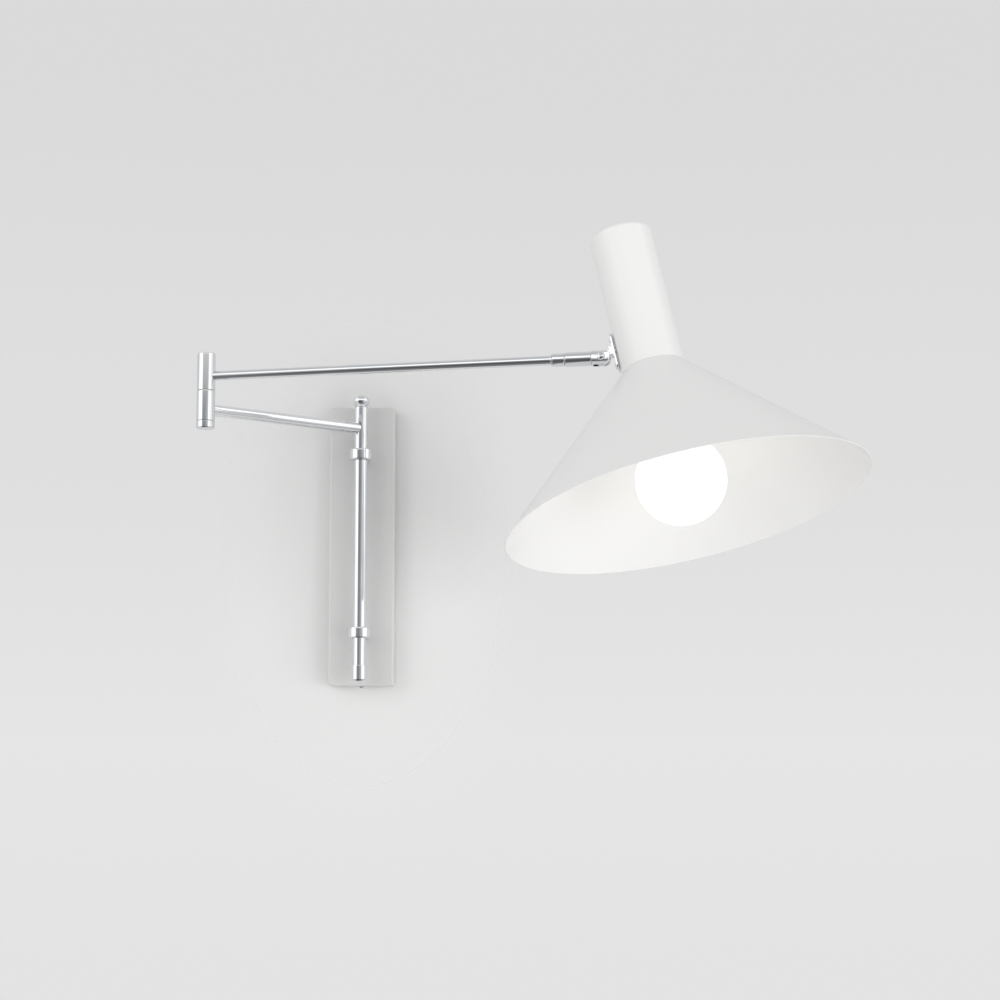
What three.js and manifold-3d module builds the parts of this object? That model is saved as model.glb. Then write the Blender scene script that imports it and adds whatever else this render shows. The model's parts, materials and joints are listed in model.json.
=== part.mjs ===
// Swing arm wall lamp with a cone shade. Millimetres, +Z up.
// The wall is the plane y = 0 and the lamp stands out from it towards -Y.
// The origin is the middle of the wall bracket's back face.
import * as THREE from 'three';
import { mergeVertices } from 'three/addons/utils/BufferGeometryUtils.js';
import Module from 'manifold-3d';

const wasm = await Module();
wasm.setup();

// Sides of the round pieces
const BIG_ROUND = 40;
const ROUND = 20;
const SMALL_ROUND = 16;
const HOLE_ROUND = 12;

// Clearances
const SEAT = 0.3; // between pieces that are fixed together
const RUN = 0.1; // radial, between pieces that turn in each other
const BORE = 0.15; // radial, round a screw in its hole
const CUT = 20; // how far a cutting shape runs on past a small piece
const CHAMFER = 0.5;
const FINE_CHAMFER = 0.3;

// Rest pose, degrees
const SHORT_ARM_AZIMUTH = -140;
const LONG_ARM_AZIMUTH = -13.5;
const WRIST_ROLL = -8.5;
const HEAD_TILT = 14;

// Wall plate and bracket
const PLATE_WIDTH = 60;
const PLATE_HEIGHT = 256;
const PLATE_DEPTH = 22;
const PLATE_WALL = 1.2;
const PLATE_CORNER = 2.5;
const PLATE_EDGE = 1;
const BRACKET_WIDTH = 44;
const BRACKET_THICKNESS = 2;
const TAB_WIDTH = 16;
const TAB_DEPTH = 14;
const PLATE_SCREW_R = 1.6;
const PLATE_SCREW_HEAD_R = 3.2;
const PLATE_SCREW_HEAD_HEIGHT = 2.2;
const PLATE_SCREW_LENGTH = 8;
const PLATE_SCREW_Y = -10;
const FIXING_SLOT_Z = 60;
const FIXING_SLOT_LENGTH = 14;
const FIXING_SLOT_R = 2.5;
const CABLE_HOLE_R = 9;
const CABLE_HOLE_Z = -36;
const CABLE_R = 4;
const EARTH_SCREW_R = 2;
const EARTH_SCREW_X = 12;
const EARTH_SCREW_Z = 20;
const TERMINAL_WIDTH = 28;
const TERMINAL_DEPTH = 12;
const TERMINAL_HEIGHT = 18;
const TERMINAL_PITCH = 8;
const LEAD_R = 0.9;

// Rod and its two collars
const ROD_R = 6;
const ROD_WALL = 1.5;
const ROD_BORE = ROD_R - ROD_WALL;
const ROD_STANDOFF = 20; // from the plate's front to the rod's axis
const ROD_TOP = 124.5;
const ROD_BOTTOM = -122.5;
const COLLAR_Z = 81;
const COLLAR_WALL = 2.7;
const COLLAR_HEIGHT = 10;
const BUSH_WALL = 0.9;
const BUSH_SEAT_R = ROD_R + RUN + BUSH_WALL + SEAT;
const COLLAR_R = BUSH_SEAT_R + COLLAR_WALL;
const STEM_R = 4;
const STEM_BORE = 2.5;
const STEM_GAP = 7.8; // from the bracket's front to the stem's end
const STEM_FLANGE_R = 7.5;
const STEM_FLANGE = 2;
const COLLAR_NUT_FLATS = 13;
const COLLAR_NUT = 4;
const WASHER_R = 8;
const WASHER = 1;
const GROOVE_DEPTH = 0.8;
const GROOVE_WIDTH = 3.2;
const SET_SCREW_R = 2;
const SET_SCREW_TIP_R = 1.2;
const SET_SCREW_SOCKET_R = 1.1;
const SET_SCREW_SOCKET = 1.4;
const FINIAL_OVERHANG = 1.6;
const FINIAL_R = ROD_R + FINIAL_OVERHANG;
const FINIAL_HEIGHT = 11.2;
const FINIAL_COLLAR = 1.2;
const FINIAL_SPIGOT = 8;
const END_CAP_WALL = 0.7;
const END_CAP_R = ROD_R + SEAT + END_CAP_WALL;
const END_CAP_HEIGHT = 15;
const END_CAP_FLOOR = 2.4;
const END_CAP_FILLET = 2;

// Short arm, elbow and long arm
const SHORT_ARM_LENGTH = 165; // rod axis to elbow axis
const SHORT_ARM_Z = 105;
const SHORT_ARM_R = 5;
const SHORT_ARM_WALL = 1;
const SHORT_ARM_BORE = SHORT_ARM_R - SHORT_ARM_WALL;
const ARM_OVERLAP = 3; // before each end is cut to its round seat
const LONG_ARM_Z = 134;
const LONG_ARM_R = 4;
const LONG_ARM_WALL = 1;
const LONG_ARM_BORE = LONG_ARM_R - LONG_ARM_WALL;
const LONG_ARM_LENGTH = 346.5; // elbow axis to tilt pin
const ELBOW_R = 8;
const ELBOW_BOTTOM = 88;
const ELBOW_TOP = 154;
const ELBOW_SPLIT = 121;
const ELBOW_PLUG = 7;
const ELBOW_SPIGOT = 3;
const ELBOW_FILLET = 1.2;
const ELBOW_PIN_R = 4;
const ELBOW_PIN_BORE = 2.5;
const ELBOW_WASHER = 0.5;
const ELBOW_RIM = 1.7;
const TOP_PLUG_R = ELBOW_R - ELBOW_RIM - SEAT;
const TOP_PLUG = 3.5;
const WIRE_HOLE_R = 2.4;

// End of the long arm, swivel and knuckle
const RING_WIDTH = 1.2;
const RING_WALL = 0.7;
const RING_R = LONG_ARM_R + SEAT + RING_WALL;
const FERRULE_LENGTH = 10.4;
const FERRULE_WALL = 1.2;
const FERRULE_R = LONG_ARM_R + SEAT + FERRULE_WALL;
const TUBE_IN_FERRULE = 7;
const SLEEVE_LENGTH = 22;
const SLEEVE_STEP = 0.5; // each piece of the swivel is this much larger than the one before
const SLEEVE_R = FERRULE_R + SLEEVE_STEP;
const SPINDLE_R = LONG_ARM_BORE;
const SPINDLE_BORE = 1.5;
const SPINDLE_HEAD_R = 4.2;
const SPINDLE_HEAD = 3.5;
const SPIGOT_LENGTH = 2.5;
const FORK_REACH = 8.2; // from the fork's shoulder to the tilt pin
const FORK_R = SLEEVE_R + SLEEVE_STEP;
const FORK_EYE_R = FORK_R + 0.3;
const TILT_PIN_R = 2;
const TILT_HEAD_R = 3.4;
const TILT_HEAD = 1.9;
const TILT_NUT_R = 3.2;
const SLOT_DEPTH = 0.8;
const FORK_FLAT_DEPTH = 0.9;
const FORK_FLAT = FORK_R - FORK_FLAT_DEPTH;
const FRICTION_WASHER = 0.4;
const TONGUE_THICKNESS = 3.2;
const FORK_SLOT = TONGUE_THICKNESS + 2 * FRICTION_WASHER + 4 * BORE;
const TONGUE_EYE_R = FORK_EYE_R - 0.5;
const TONGUE_BLOCK_WIDTH = 9;
const TONGUE_BLOCK_LOW = -1.5;
const TONGUE_BLOCK_HIGH = 7.5;
const TONGUE_BASE_LIP = 1.2;
const TONGUE_STUD_R = 2.4;
const TONGUE_STUD_NUT_FLATS = 8;

// Head: the neck's axis stands beside the tilt pin, its seam with the cone below it
const NECK_FACE = 12.8; // from the tilt pin to the neck's surface
const SEAM_DROP = 21.1;
const NECK_R = 26;
const NECK_OFFSET = NECK_FACE + NECK_R;
const NECK_HEIGHT = 123;
const NECK_WALL = 1.2;
const NECK_FILLET = 4;
const MOUNT_PLATE_WIDTH = 16;
const MOUNT_PLATE_LOW = 5.6; // above the seam
const MOUNT_PLATE_HIGH = 38;
const MOUNT_PLATE_THICKNESS = 1.6;
const MOUNT_PLATE_CORNER = 4;
const MOUNT_SCREW_INSET = 5;
const MOUNT_SCREW_R = 1.5;
const MOUNT_SCREW_HEAD_R = 2.8;
const MOUNT_SCREW_HEAD = 1.8;
const MOUNT_NUT_FLATS = 5.5;
const CONE_R = 150;
const CONE_HEIGHT = 124;
const CONE_WALL = 1;
const CONE_COLLAR_HEIGHT = 6;
const CONE_FLANGE = 1.2;
const CENTRE_ROD_R = 2.5;
const CENTRE_ROD_NUT_FLATS = 8;
const CENTRE_ROD_NUT = 4;
const SHADE_FINIAL_R = 4.4;
const SHADE_FINIAL_HEIGHT = 6.8;
const SHADE_FINIAL_BORE = 4.2;

// Lampholder and bulb, heights measured from the seam
const HOLDER_R = 19.6;
const HOLDER_WALL = 2;
const HOLDER_BOTTOM = -48;
const HOLDER_TOP = 12;
const HOLDER_SHOULDER_R = 21.5;
const SHADE_RING_R = 22.6;
const SHADE_RING = 3;
const HOLDER_SHOULDER = 2;
const HOLDER_CAP_HEIGHT = 18;
const HOLDER_CAP_SKIRT = 5;
const HOLDER_CAP_CROWN_R = 9;
const HOLDER_CAP_NIPPLE_R = 7;
const INSERT_LOW = -16;
const INSERT_HEIGHT = 9;
const SHELL_R = 14.4;
const SHELL_WALL = 0.6;
const SHELL_LENGTH = 28;
const BULB_CAP_R = 13.2;
const BULB_CAP_LENGTH = 25;
const BULB_CAP_WALL = 0.5;
const BULB_CAP_BOTTOM = -50;
const BULB_R = 36.6;
const BULB_CENTRE = -98;
const BULB_NECK_R = 12.3;
const BULB_SHOULDER = 54; // degrees up the ball where it begins to draw in
const GLASS = 0.8;

// Materials
const chrome = { color: 0xd8dade, roughness: 0.08, metalness: 1 };
const white = { color: 0xeeeeec, roughness: 0.3, metalness: 0 };
const zinc = { color: 0xb4b6b8, roughness: 0.4, metalness: 1 };
const brass = { color: 0xc9a75a, roughness: 0.3, metalness: 1 };
const nylon = { color: 0xe8e6df, roughness: 0.5, metalness: 0 };
const bakelite = { color: 0x232324, roughness: 0.45, metalness: 0 };
const ceramic = { color: 0xf1efe8, roughness: 0.35, metalness: 0 };
const rubber = { color: 0x2b2b2b, roughness: 0.8, metalness: 0 };
const opal = { color: 0xfffdf5, roughness: 0.15, metalness: 0 };
const brownLead = { color: 0x5b3a26, roughness: 0.5, metalness: 0 };
const blueLead = { color: 0x2f5fa8, roughness: 0.5, metalness: 0 };

const rad = THREE.MathUtils.degToRad;

// ---- shape helpers ----

function solidOf(geometry) {
  const plain = geometry.clone();
  plain.deleteAttribute('normal');
  plain.deleteAttribute('uv');
  const merged = mergeVertices(plain, 1e-4);
  const mesh = new wasm.Mesh({
    numProp: 3,
    vertProperties: new Float32Array(merged.attributes.position.array),
    triVerts: new Uint32Array(merged.index.array),
  });
  return new wasm.Manifold(mesh);
}

function geometryOf(solid) {
  const mesh = solid.getMesh();
  const geometry = new THREE.BufferGeometry();
  geometry.setAttribute('position', new THREE.BufferAttribute(new Float32Array(mesh.vertProperties), 3));
  geometry.setIndex(new THREE.BufferAttribute(new Uint32Array(mesh.triVerts), 1));
  geometry.computeVertexNormals();
  return geometry;
}

// Joins the first solid with the rest of its list, then cuts every tool away.
function carve(bodies, tools = []) {
  let solid = solidOf(bodies[0]);
  for (const body of bodies.slice(1)) {
    solid = solid.add(solidOf(body));
  }
  for (const tool of tools) {
    solid = solid.subtract(solidOf(tool));
  }
  return geometryOf(solid);
}

// Turned shape about Z from [radius, height] points listed bottom to top on the outside.
function turned(points, segments = ROUND) {
  const profile = points.map(([r, z]) => new THREE.Vector2(r, z));
  return new THREE.LatheGeometry(profile, segments).rotateX(Math.PI / 2);
}

function cylinder(r, low, high, segments = ROUND) {
  return turned([[0, low], [r, low], [r, high], [0, high]], segments);
}

function tube(outer, inner, low, high, segments = ROUND) {
  return turned([[inner, low], [outer, low], [outer, high], [inner, high], [inner, low]], segments);
}

function block(x0, x1, y0, y1, z0, z1) {
  const box = new THREE.BoxGeometry(x1 - x0, y1 - y0, z1 - z0);
  return box.translate((x0 + x1) / 2, (y0 + y1) / 2, (z0 + z1) / 2);
}

// Turns a shape made about Z so that its axis lies along +X or +Y.
const alongX = (geometry) => geometry.rotateY(Math.PI / 2);
const alongY = (geometry) => geometry.rotateX(-Math.PI / 2);

function roundedRectangle(width, height, radius) {
  const x = width / 2;
  const y = height / 2;
  const shape = new THREE.Shape();
  shape.moveTo(-x + radius, -y);
  shape.lineTo(x - radius, -y);
  shape.absarc(x - radius, -y + radius, radius, -Math.PI / 2, 0);
  shape.lineTo(x, y - radius);
  shape.absarc(x - radius, y - radius, radius, 0, Math.PI / 2);
  shape.lineTo(-x + radius, y);
  shape.absarc(-x + radius, y - radius, radius, Math.PI / 2, Math.PI);
  shape.lineTo(-x, -y + radius);
  shape.absarc(-x + radius, -y + radius, radius, Math.PI, 1.5 * Math.PI);
  return shape;
}

function slab(shape, depth, curveSegments = 6) {
  return new THREE.ExtrudeGeometry(shape, { depth, bevelEnabled: false, curveSegments });
}

// Upright slab in the XZ plane, from y = back towards -Y.
function standingSlab(shape, depth, back) {
  return slab(shape, depth).rotateX(Math.PI / 2).translate(0, back, 0);
}

function hexNut(flats, bore, low, high) {
  const nut = cylinder(flats / Math.sqrt(3), low, high, 6);
  return carve([nut], [cylinder(bore, low - 1, high + 1, HOLE_ROUND)]);
}

// Quarter or half arc in [radius, height] points about a centre, angles from the outward radius.
function arc(centreR, centreZ, radiusR, radiusZ, from, to, steps) {
  const points = [];
  for (let i = 0; i <= steps; i += 1) {
    const angle = rad(from + ((to - from) * i) / steps);
    points.push([centreR + radiusR * Math.cos(angle), centreZ + radiusZ * Math.sin(angle)]);
  }
  return points;
}

// Rounded outer corner at [r, z]; an arc that starts below its centre belongs to a lower edge.
function fillet(r, z, size, from, to, steps) {
  const centreZ = from < 0 ? z + size : z - size;
  return arc(r - size, centreZ, size, size, from, to, steps);
}

function piece(parent, name, geometry, look) {
  const mesh = new THREE.Mesh(geometry, new THREE.MeshStandardMaterial(look));
  mesh.name = name;
  parent.add(mesh);
  return mesh;
}

// ---- scene graph: each group turns about the joint at its own origin ----

const lamp = new THREE.Group();
const rodGroup = new THREE.Group();
const elbowGroup = new THREE.Group();
const wristGroup = new THREE.Group();
const headGroup = new THREE.Group();
const neckGroup = new THREE.Group();

const ROD_Y = -(PLATE_DEPTH + ROD_STANDOFF);

rodGroup.position.set(0, ROD_Y, 0);
rodGroup.rotation.z = rad(SHORT_ARM_AZIMUTH);
elbowGroup.position.set(SHORT_ARM_LENGTH, 0, 0);
elbowGroup.rotation.z = rad(LONG_ARM_AZIMUTH - SHORT_ARM_AZIMUTH);
wristGroup.position.set(0, 0, LONG_ARM_Z);
wristGroup.rotation.x = rad(WRIST_ROLL);
headGroup.position.set(LONG_ARM_LENGTH, 0, 0);
headGroup.rotation.y = -rad(HEAD_TILT);
neckGroup.position.set(NECK_OFFSET, 0, -SEAM_DROP);
lamp.add(rodGroup);
rodGroup.add(elbowGroup);
elbowGroup.add(wristGroup);
wristGroup.add(headGroup);
headGroup.add(neckGroup);

// ---- wall plate, bracket and wiring ----

const TAB_Z = PLATE_HEIGHT / 2 - PLATE_WALL - SEAT;
const PLATE_INNER_Y = -(PLATE_DEPTH - PLATE_WALL);
const STEM_END_Y = -(BRACKET_THICKNESS + STEM_GAP);
const LEAD_Y = -BRACKET_THICKNESS - SEAT - 4;

function fixingSlot(z) {
  const slot = roundedRectangle(FIXING_SLOT_LENGTH, 2 * FIXING_SLOT_R, FIXING_SLOT_R - 0.01);
  return standingSlab(slot, BRACKET_THICKNESS + 2, 1).translate(0, 0, z);
}

function wallBracket() {
  const half = BRACKET_WIDTH / 2;
  const back = block(-half, half, -BRACKET_THICKNESS, 0, -TAB_Z, TAB_Z);
  const tab = (z0, z1) => block(-TAB_WIDTH / 2, TAB_WIDTH / 2, -TAB_DEPTH, 0, z0, z1);
  const tabs = [tab(TAB_Z - BRACKET_THICKNESS, TAB_Z), tab(-TAB_Z, -TAB_Z + BRACKET_THICKNESS)];
  const screwHole = cylinder(PLATE_SCREW_R + BORE, -TAB_Z - 1, TAB_Z + 1, HOLE_ROUND);
  const cableHole = alongY(cylinder(CABLE_HOLE_R, -BRACKET_THICKNESS - 1, 1));
  const earthHole = alongY(cylinder(EARTH_SCREW_R + BORE, -BRACKET_THICKNESS - 1, 1, HOLE_ROUND));
  return carve([back, ...tabs], [
    screwHole.translate(0, PLATE_SCREW_Y, 0),
    cableHole.translate(0, 0, CABLE_HOLE_Z),
    earthHole.translate(EARTH_SCREW_X, 0, EARTH_SCREW_Z),
    fixingSlot(FIXING_SLOT_Z),
    fixingSlot(-FIXING_SLOT_Z),
  ]);
}

function canopy() {
  const outline = roundedRectangle(PLATE_WIDTH, PLATE_HEIGHT, PLATE_CORNER);
  const outer = new THREE.ExtrudeGeometry(outline, {
    depth: PLATE_DEPTH,
    bevelThickness: PLATE_EDGE,
    bevelSize: PLATE_EDGE,
    bevelOffset: -PLATE_EDGE,
    bevelSegments: 2,
    curveSegments: 4,
  }).rotateX(Math.PI / 2).translate(0, PLATE_EDGE, 0);
  const cavityShape = roundedRectangle(
    PLATE_WIDTH - 2 * PLATE_WALL,
    PLATE_HEIGHT - 2 * PLATE_WALL,
    PLATE_CORNER - PLATE_WALL,
  );
  const cavity = standingSlab(cavityShape, PLATE_DEPTH - PLATE_WALL + 5, 5);
  const behind = block(-PLATE_WIDTH, PLATE_WIDTH, 0, 10, -PLATE_HEIGHT, PLATE_HEIGHT);
  const screwHole = cylinder(PLATE_SCREW_R + SEAT, -PLATE_HEIGHT, PLATE_HEIGHT, HOLE_ROUND);
  screwHole.translate(0, PLATE_SCREW_Y, 0);
  const stemHole = (z) => {
    const hole = alongY(cylinder(STEM_R + SEAT, -PLATE_DEPTH - 2, PLATE_INNER_Y + 2));
    return hole.translate(0, 0, z);
  };
  return carve([outer], [cavity, behind, screwHole, stemHole(COLLAR_Z), stemHole(-COLLAR_Z)]);
}

// Dome-headed screw that points up from below the plate's lower edge.
function plateScrew() {
  const seat = -(PLATE_HEIGHT / 2) - SEAT;
  const end = seat + PLATE_SCREW_LENGTH;
  const head = arc(0, seat, PLATE_SCREW_HEAD_R, PLATE_SCREW_HEAD_HEIGHT, -90, 0, 4);
  const shank = [[PLATE_SCREW_R, seat], [PLATE_SCREW_R, end], [0, end]];
  return turned([...head, ...shank], SMALL_ROUND);
}

function collar(drilled) {
  const front = -(PLATE_DEPTH + SEAT);
  const ring = tube(COLLAR_R, 1, -COLLAR_HEIGHT / 2, COLLAR_HEIGHT / 2, ROUND).translate(0, ROD_Y, 0);
  const neck = alongY(cylinder(STEM_R + 1, ROD_Y + COLLAR_R - 1.5, front, SMALL_ROUND));
  const flange = alongY(cylinder(STEM_FLANGE_R, front - STEM_FLANGE, front, SMALL_ROUND));
  const stem = alongY(cylinder(STEM_R, front - 1, STEM_END_Y, SMALL_ROUND));
  const bushSeat = cylinder(BUSH_SEAT_R, -COLLAR_HEIGHT, COLLAR_HEIGHT);
  bushSeat.translate(0, ROD_Y, 0);
  const wireway = alongY(cylinder(STEM_BORE, ROD_Y + 3, STEM_END_Y + 1, HOLE_ROUND));
  const tools = [bushSeat, wireway];
  if (drilled) {
    tools.push(alongY(cylinder(SET_SCREW_R + BORE, ROD_Y - COLLAR_R - 2, ROD_Y - 3, HOLE_ROUND)));
  }
  return carve([ring, neck, flange, stem], tools);
}

function bush(drilled) {
  const half = COLLAR_HEIGHT / 2 - FINE_CHAMFER;
  const sleeve = tube(ROD_R + RUN + BUSH_WALL, ROD_R + RUN, -half, half);
  if (!drilled) {
    return sleeve.translate(0, ROD_Y, 0);
  }
  const hole = alongY(cylinder(SET_SCREW_TIP_R + SEAT, -COLLAR_R, -2, HOLE_ROUND));
  return carve([sleeve], [hole]).translate(0, ROD_Y, 0);
}

function setScrew() {
  const tip = ROD_Y - ROD_R + GROOVE_DEPTH - BORE;
  const shoulder = ROD_Y - ROD_R - RUN - BUSH_WALL - SEAT + RUN;
  const outer = ROD_Y - COLLAR_R + RUN;
  const body = alongY(turned([
    [0, outer], [SET_SCREW_R, outer], [SET_SCREW_R, shoulder],
    [SET_SCREW_TIP_R, shoulder], [SET_SCREW_TIP_R, tip], [0, tip],
  ], HOLE_ROUND));
  const socket = alongY(cylinder(SET_SCREW_SOCKET_R, outer - 1, outer + SET_SCREW_SOCKET, 6));
  return carve([body], [socket]);
}

function terminalBlock() {
  const back = -BRACKET_THICKNESS - SEAT;
  const front = back - TERMINAL_DEPTH;
  const half = TERMINAL_HEIGHT / 2;
  const body = block(-TERMINAL_WIDTH / 2, TERMINAL_WIDTH / 2, front, back, -half, half);
  const screwWell = (x) => alongY(cylinder(2, front - 1, back - 6, HOLE_ROUND)).translate(x, 0, 0);
  const leadWell = (x) => cylinder(LEAD_R + 0.6, 2, half + 1, HOLE_ROUND).translate(x, LEAD_Y, 0);
  return carve([body], [
    ...[-TERMINAL_PITCH, 0, TERMINAL_PITCH].map(screwWell),
    ...[-TERMINAL_PITCH, TERMINAL_PITCH].map(leadWell),
  ]);
}

function earthScrew() {
  const seat = -BRACKET_THICKNESS - SEAT;
  const headR = 1.8 * EARTH_SCREW_R;
  const screw = alongY(turned([
    [0, seat - 2.4], [headR - 1, seat - 2.4], [headR, seat - 1.4], [headR, seat],
    [EARTH_SCREW_R, seat], [EARTH_SCREW_R, -SEAT], [0, -SEAT],
  ], HOLE_ROUND));
  return screw.translate(EARTH_SCREW_X, 0, EARTH_SCREW_Z);
}

function cableGrommet() {
  const seat = -BRACKET_THICKNESS - SEAT;
  const front = seat - 1.5;
  const bore = CABLE_R + 1.5;
  const body = CABLE_HOLE_R - SEAT;
  const flange = CABLE_HOLE_R + 2;
  return alongY(turned([
    [bore, front], [flange, front], [flange, seat], [body, seat], [body, -SEAT], [bore, -SEAT], [bore, front],
  ])).translate(0, 0, CABLE_HOLE_Z);
}

// Insulated lead from the terminal block up to the hollow stem of the upper collar.
function lead(side) {
  const apart = LEAD_R + 0.2;
  const extrudePath = new THREE.CatmullRomCurve3([
    new THREE.Vector3(TERMINAL_PITCH * side, LEAD_Y, TERMINAL_HEIGHT / 2 - 4),
    new THREE.Vector3(TERMINAL_PITCH * side, LEAD_Y, TERMINAL_HEIGHT / 2 + 7),
    new THREE.Vector3((TERMINAL_PITCH + 2) * side, LEAD_Y, 34),
    new THREE.Vector3((TERMINAL_PITCH - 1) * side, LEAD_Y, COLLAR_Z - 21),
    new THREE.Vector3(apart * side, STEM_END_Y + 5, COLLAR_Z - 4),
    new THREE.Vector3(apart * side, STEM_END_Y + 1, COLLAR_Z),
    new THREE.Vector3(apart * side, STEM_END_Y - 4, COLLAR_Z),
  ]);
  const section = new THREE.Shape();
  section.absarc(0, 0, LEAD_R, 0, 2 * Math.PI);
  const options = { steps: 22, curveSegments: 4, bevelEnabled: false, extrudePath };
  return new THREE.ExtrudeGeometry(section, options);
}

function addWallMount() {
  piece(lamp, 'wall_bracket', wallBracket(), zinc);
  piece(lamp, 'canopy', canopy(), white);
  piece(lamp, 'canopy_screw_bottom', plateScrew(), chrome).position.y = PLATE_SCREW_Y;
  piece(lamp, 'canopy_screw_top', plateScrew().rotateY(Math.PI), chrome).position.y = PLATE_SCREW_Y;
  for (const [label, z] of [['upper', COLLAR_Z], ['lower', -COLLAR_Z]]) {
    const drilled = label === 'lower';
    const washerBack = PLATE_INNER_Y + SEAT + WASHER;
    const washer = alongY(tube(WASHER_R, STEM_R + SEAT, PLATE_INNER_Y + SEAT, washerBack));
    const nut = hexNut(COLLAR_NUT_FLATS, STEM_R + SEAT, washerBack + SEAT, washerBack + SEAT + COLLAR_NUT);
    piece(lamp, `${label}_collar`, collar(drilled), chrome).position.z = z;
    piece(lamp, `${label}_bush`, bush(drilled), nylon).position.z = z;
    piece(lamp, `${label}_collar_washer`, washer, zinc).position.z = z;
    piece(lamp, `${label}_collar_nut`, alongY(nut), zinc).position.z = z;
  }
  piece(lamp, 'collar_set_screw', setScrew(), zinc).position.z = -COLLAR_Z;
  piece(lamp, 'terminal_block', terminalBlock(), ceramic);
  piece(lamp, 'earth_screw', earthScrew(), brass);
  piece(lamp, 'cable_grommet', cableGrommet(), rubber);
  piece(lamp, 'lead_live', lead(-1), brownLead);
  piece(lamp, 'lead_neutral', lead(1), blueLead);
}

// ---- rod, short arm and lower half of the elbow ----

function rodTube() {
  const half = GROOVE_WIDTH / 2;
  const groove = tube(ROD_R + 1, ROD_R - GROOVE_DEPTH, -COLLAR_Z - half, -COLLAR_Z + half);
  const wireHole = alongX(cylinder(WIRE_HOLE_R, 2, ROD_R + 2, HOLE_ROUND)).translate(0, 0, SHORT_ARM_Z);
  return carve([tube(ROD_R, ROD_BORE, ROD_BOTTOM, ROD_TOP)], [groove, wireHole]);
}

function rodFinial() {
  const base = ROD_TOP + SEAT;
  const collarTop = base + FINIAL_COLLAR;
  const half = (FINIAL_HEIGHT - FINIAL_COLLAR) / 2;
  const dome = arc(0, collarTop + half, FINIAL_R, half, -50, 90, 7);
  return turned([
    [0, base - FINIAL_SPIGOT], [ROD_BORE - SEAT, base - FINIAL_SPIGOT], [ROD_BORE - SEAT, base],
    [ROD_R, base], [ROD_R - CHAMFER, collarTop], ...dome,
  ]);
}

function rodEndCap() {
  const bottom = ROD_BOTTOM - SEAT - END_CAP_FLOOR;
  const bore = ROD_R + SEAT;
  const top = bottom + END_CAP_HEIGHT;
  const edge = fillet(END_CAP_R, bottom, END_CAP_FILLET, -90, 0, 4);
  return turned([
    [0, bottom], ...edge, [END_CAP_R, top - CHAMFER], [END_CAP_R - CHAMFER, top],
    [bore, top], [bore, ROD_BOTTOM - SEAT], [0, ROD_BOTTOM - SEAT],
  ]);
}

function shortArmTube() {
  const arm = alongX(tube(SHORT_ARM_R, SHORT_ARM_BORE, ARM_OVERLAP, SHORT_ARM_LENGTH - ARM_OVERLAP));
  const rod = cylinder(ROD_R + SEAT, SHORT_ARM_Z - CUT, SHORT_ARM_Z + CUT);
  const barrel = cylinder(ELBOW_R + SEAT, SHORT_ARM_Z - CUT, SHORT_ARM_Z + CUT);
  return carve([arm.translate(0, 0, SHORT_ARM_Z)], [rod, barrel.translate(SHORT_ARM_LENGTH, 0, 0)]);
}

const PIN_SEAT_BORE = ELBOW_PIN_R + BORE;
const LOWER_BARREL_BOTTOM = ELBOW_BOTTOM + ELBOW_PLUG;
const LOWER_BARREL_TOP = ELBOW_SPLIT - ELBOW_WASHER / 2 - SEAT;
const UPPER_BARREL_BOTTOM = ELBOW_SPLIT + ELBOW_WASHER / 2 + SEAT;
const PIN_TOP = ELBOW_TOP - TOP_PLUG - 5 * SEAT;

function elbowLowerBarrel() {
  const barrel = turned([
    [PIN_SEAT_BORE, LOWER_BARREL_BOTTOM],
    [ELBOW_R - FINE_CHAMFER, LOWER_BARREL_BOTTOM],
    [ELBOW_R, LOWER_BARREL_BOTTOM + FINE_CHAMFER],
    [ELBOW_R, LOWER_BARREL_TOP - FINE_CHAMFER],
    [ELBOW_R - FINE_CHAMFER, LOWER_BARREL_TOP],
    [PIN_SEAT_BORE, LOWER_BARREL_TOP],
    [PIN_SEAT_BORE, LOWER_BARREL_BOTTOM],
  ]);
  const wireHole = alongX(cylinder(WIRE_HOLE_R, -ELBOW_R - 2, 0, HOLE_ROUND));
  return carve([barrel], [wireHole.translate(0, 0, SHORT_ARM_Z)]);
}

function elbowBottomPlug() {
  const top = LOWER_BARREL_BOTTOM - SEAT;
  const spigot = ELBOW_PIN_R - BORE;
  const edge = fillet(ELBOW_R, ELBOW_BOTTOM, ELBOW_FILLET, -90, 0, 3);
  return turned([
    [0, ELBOW_BOTTOM], ...edge, [ELBOW_R, top - FINE_CHAMFER], [ELBOW_R - FINE_CHAMFER, top],
    [spigot, top], [spigot, top + ELBOW_SPIGOT], [0, top + ELBOW_SPIGOT],
  ]);
}

function elbowPin() {
  const pin = tube(ELBOW_PIN_R, ELBOW_PIN_BORE, LOWER_BARREL_BOTTOM + ELBOW_SPIGOT + 1, PIN_TOP);
  const wireHole = alongX(cylinder(WIRE_HOLE_R - 0.6, -ELBOW_R, 0, HOLE_ROUND));
  return carve([pin], [wireHole.translate(0, 0, SHORT_ARM_Z)]);
}

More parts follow.
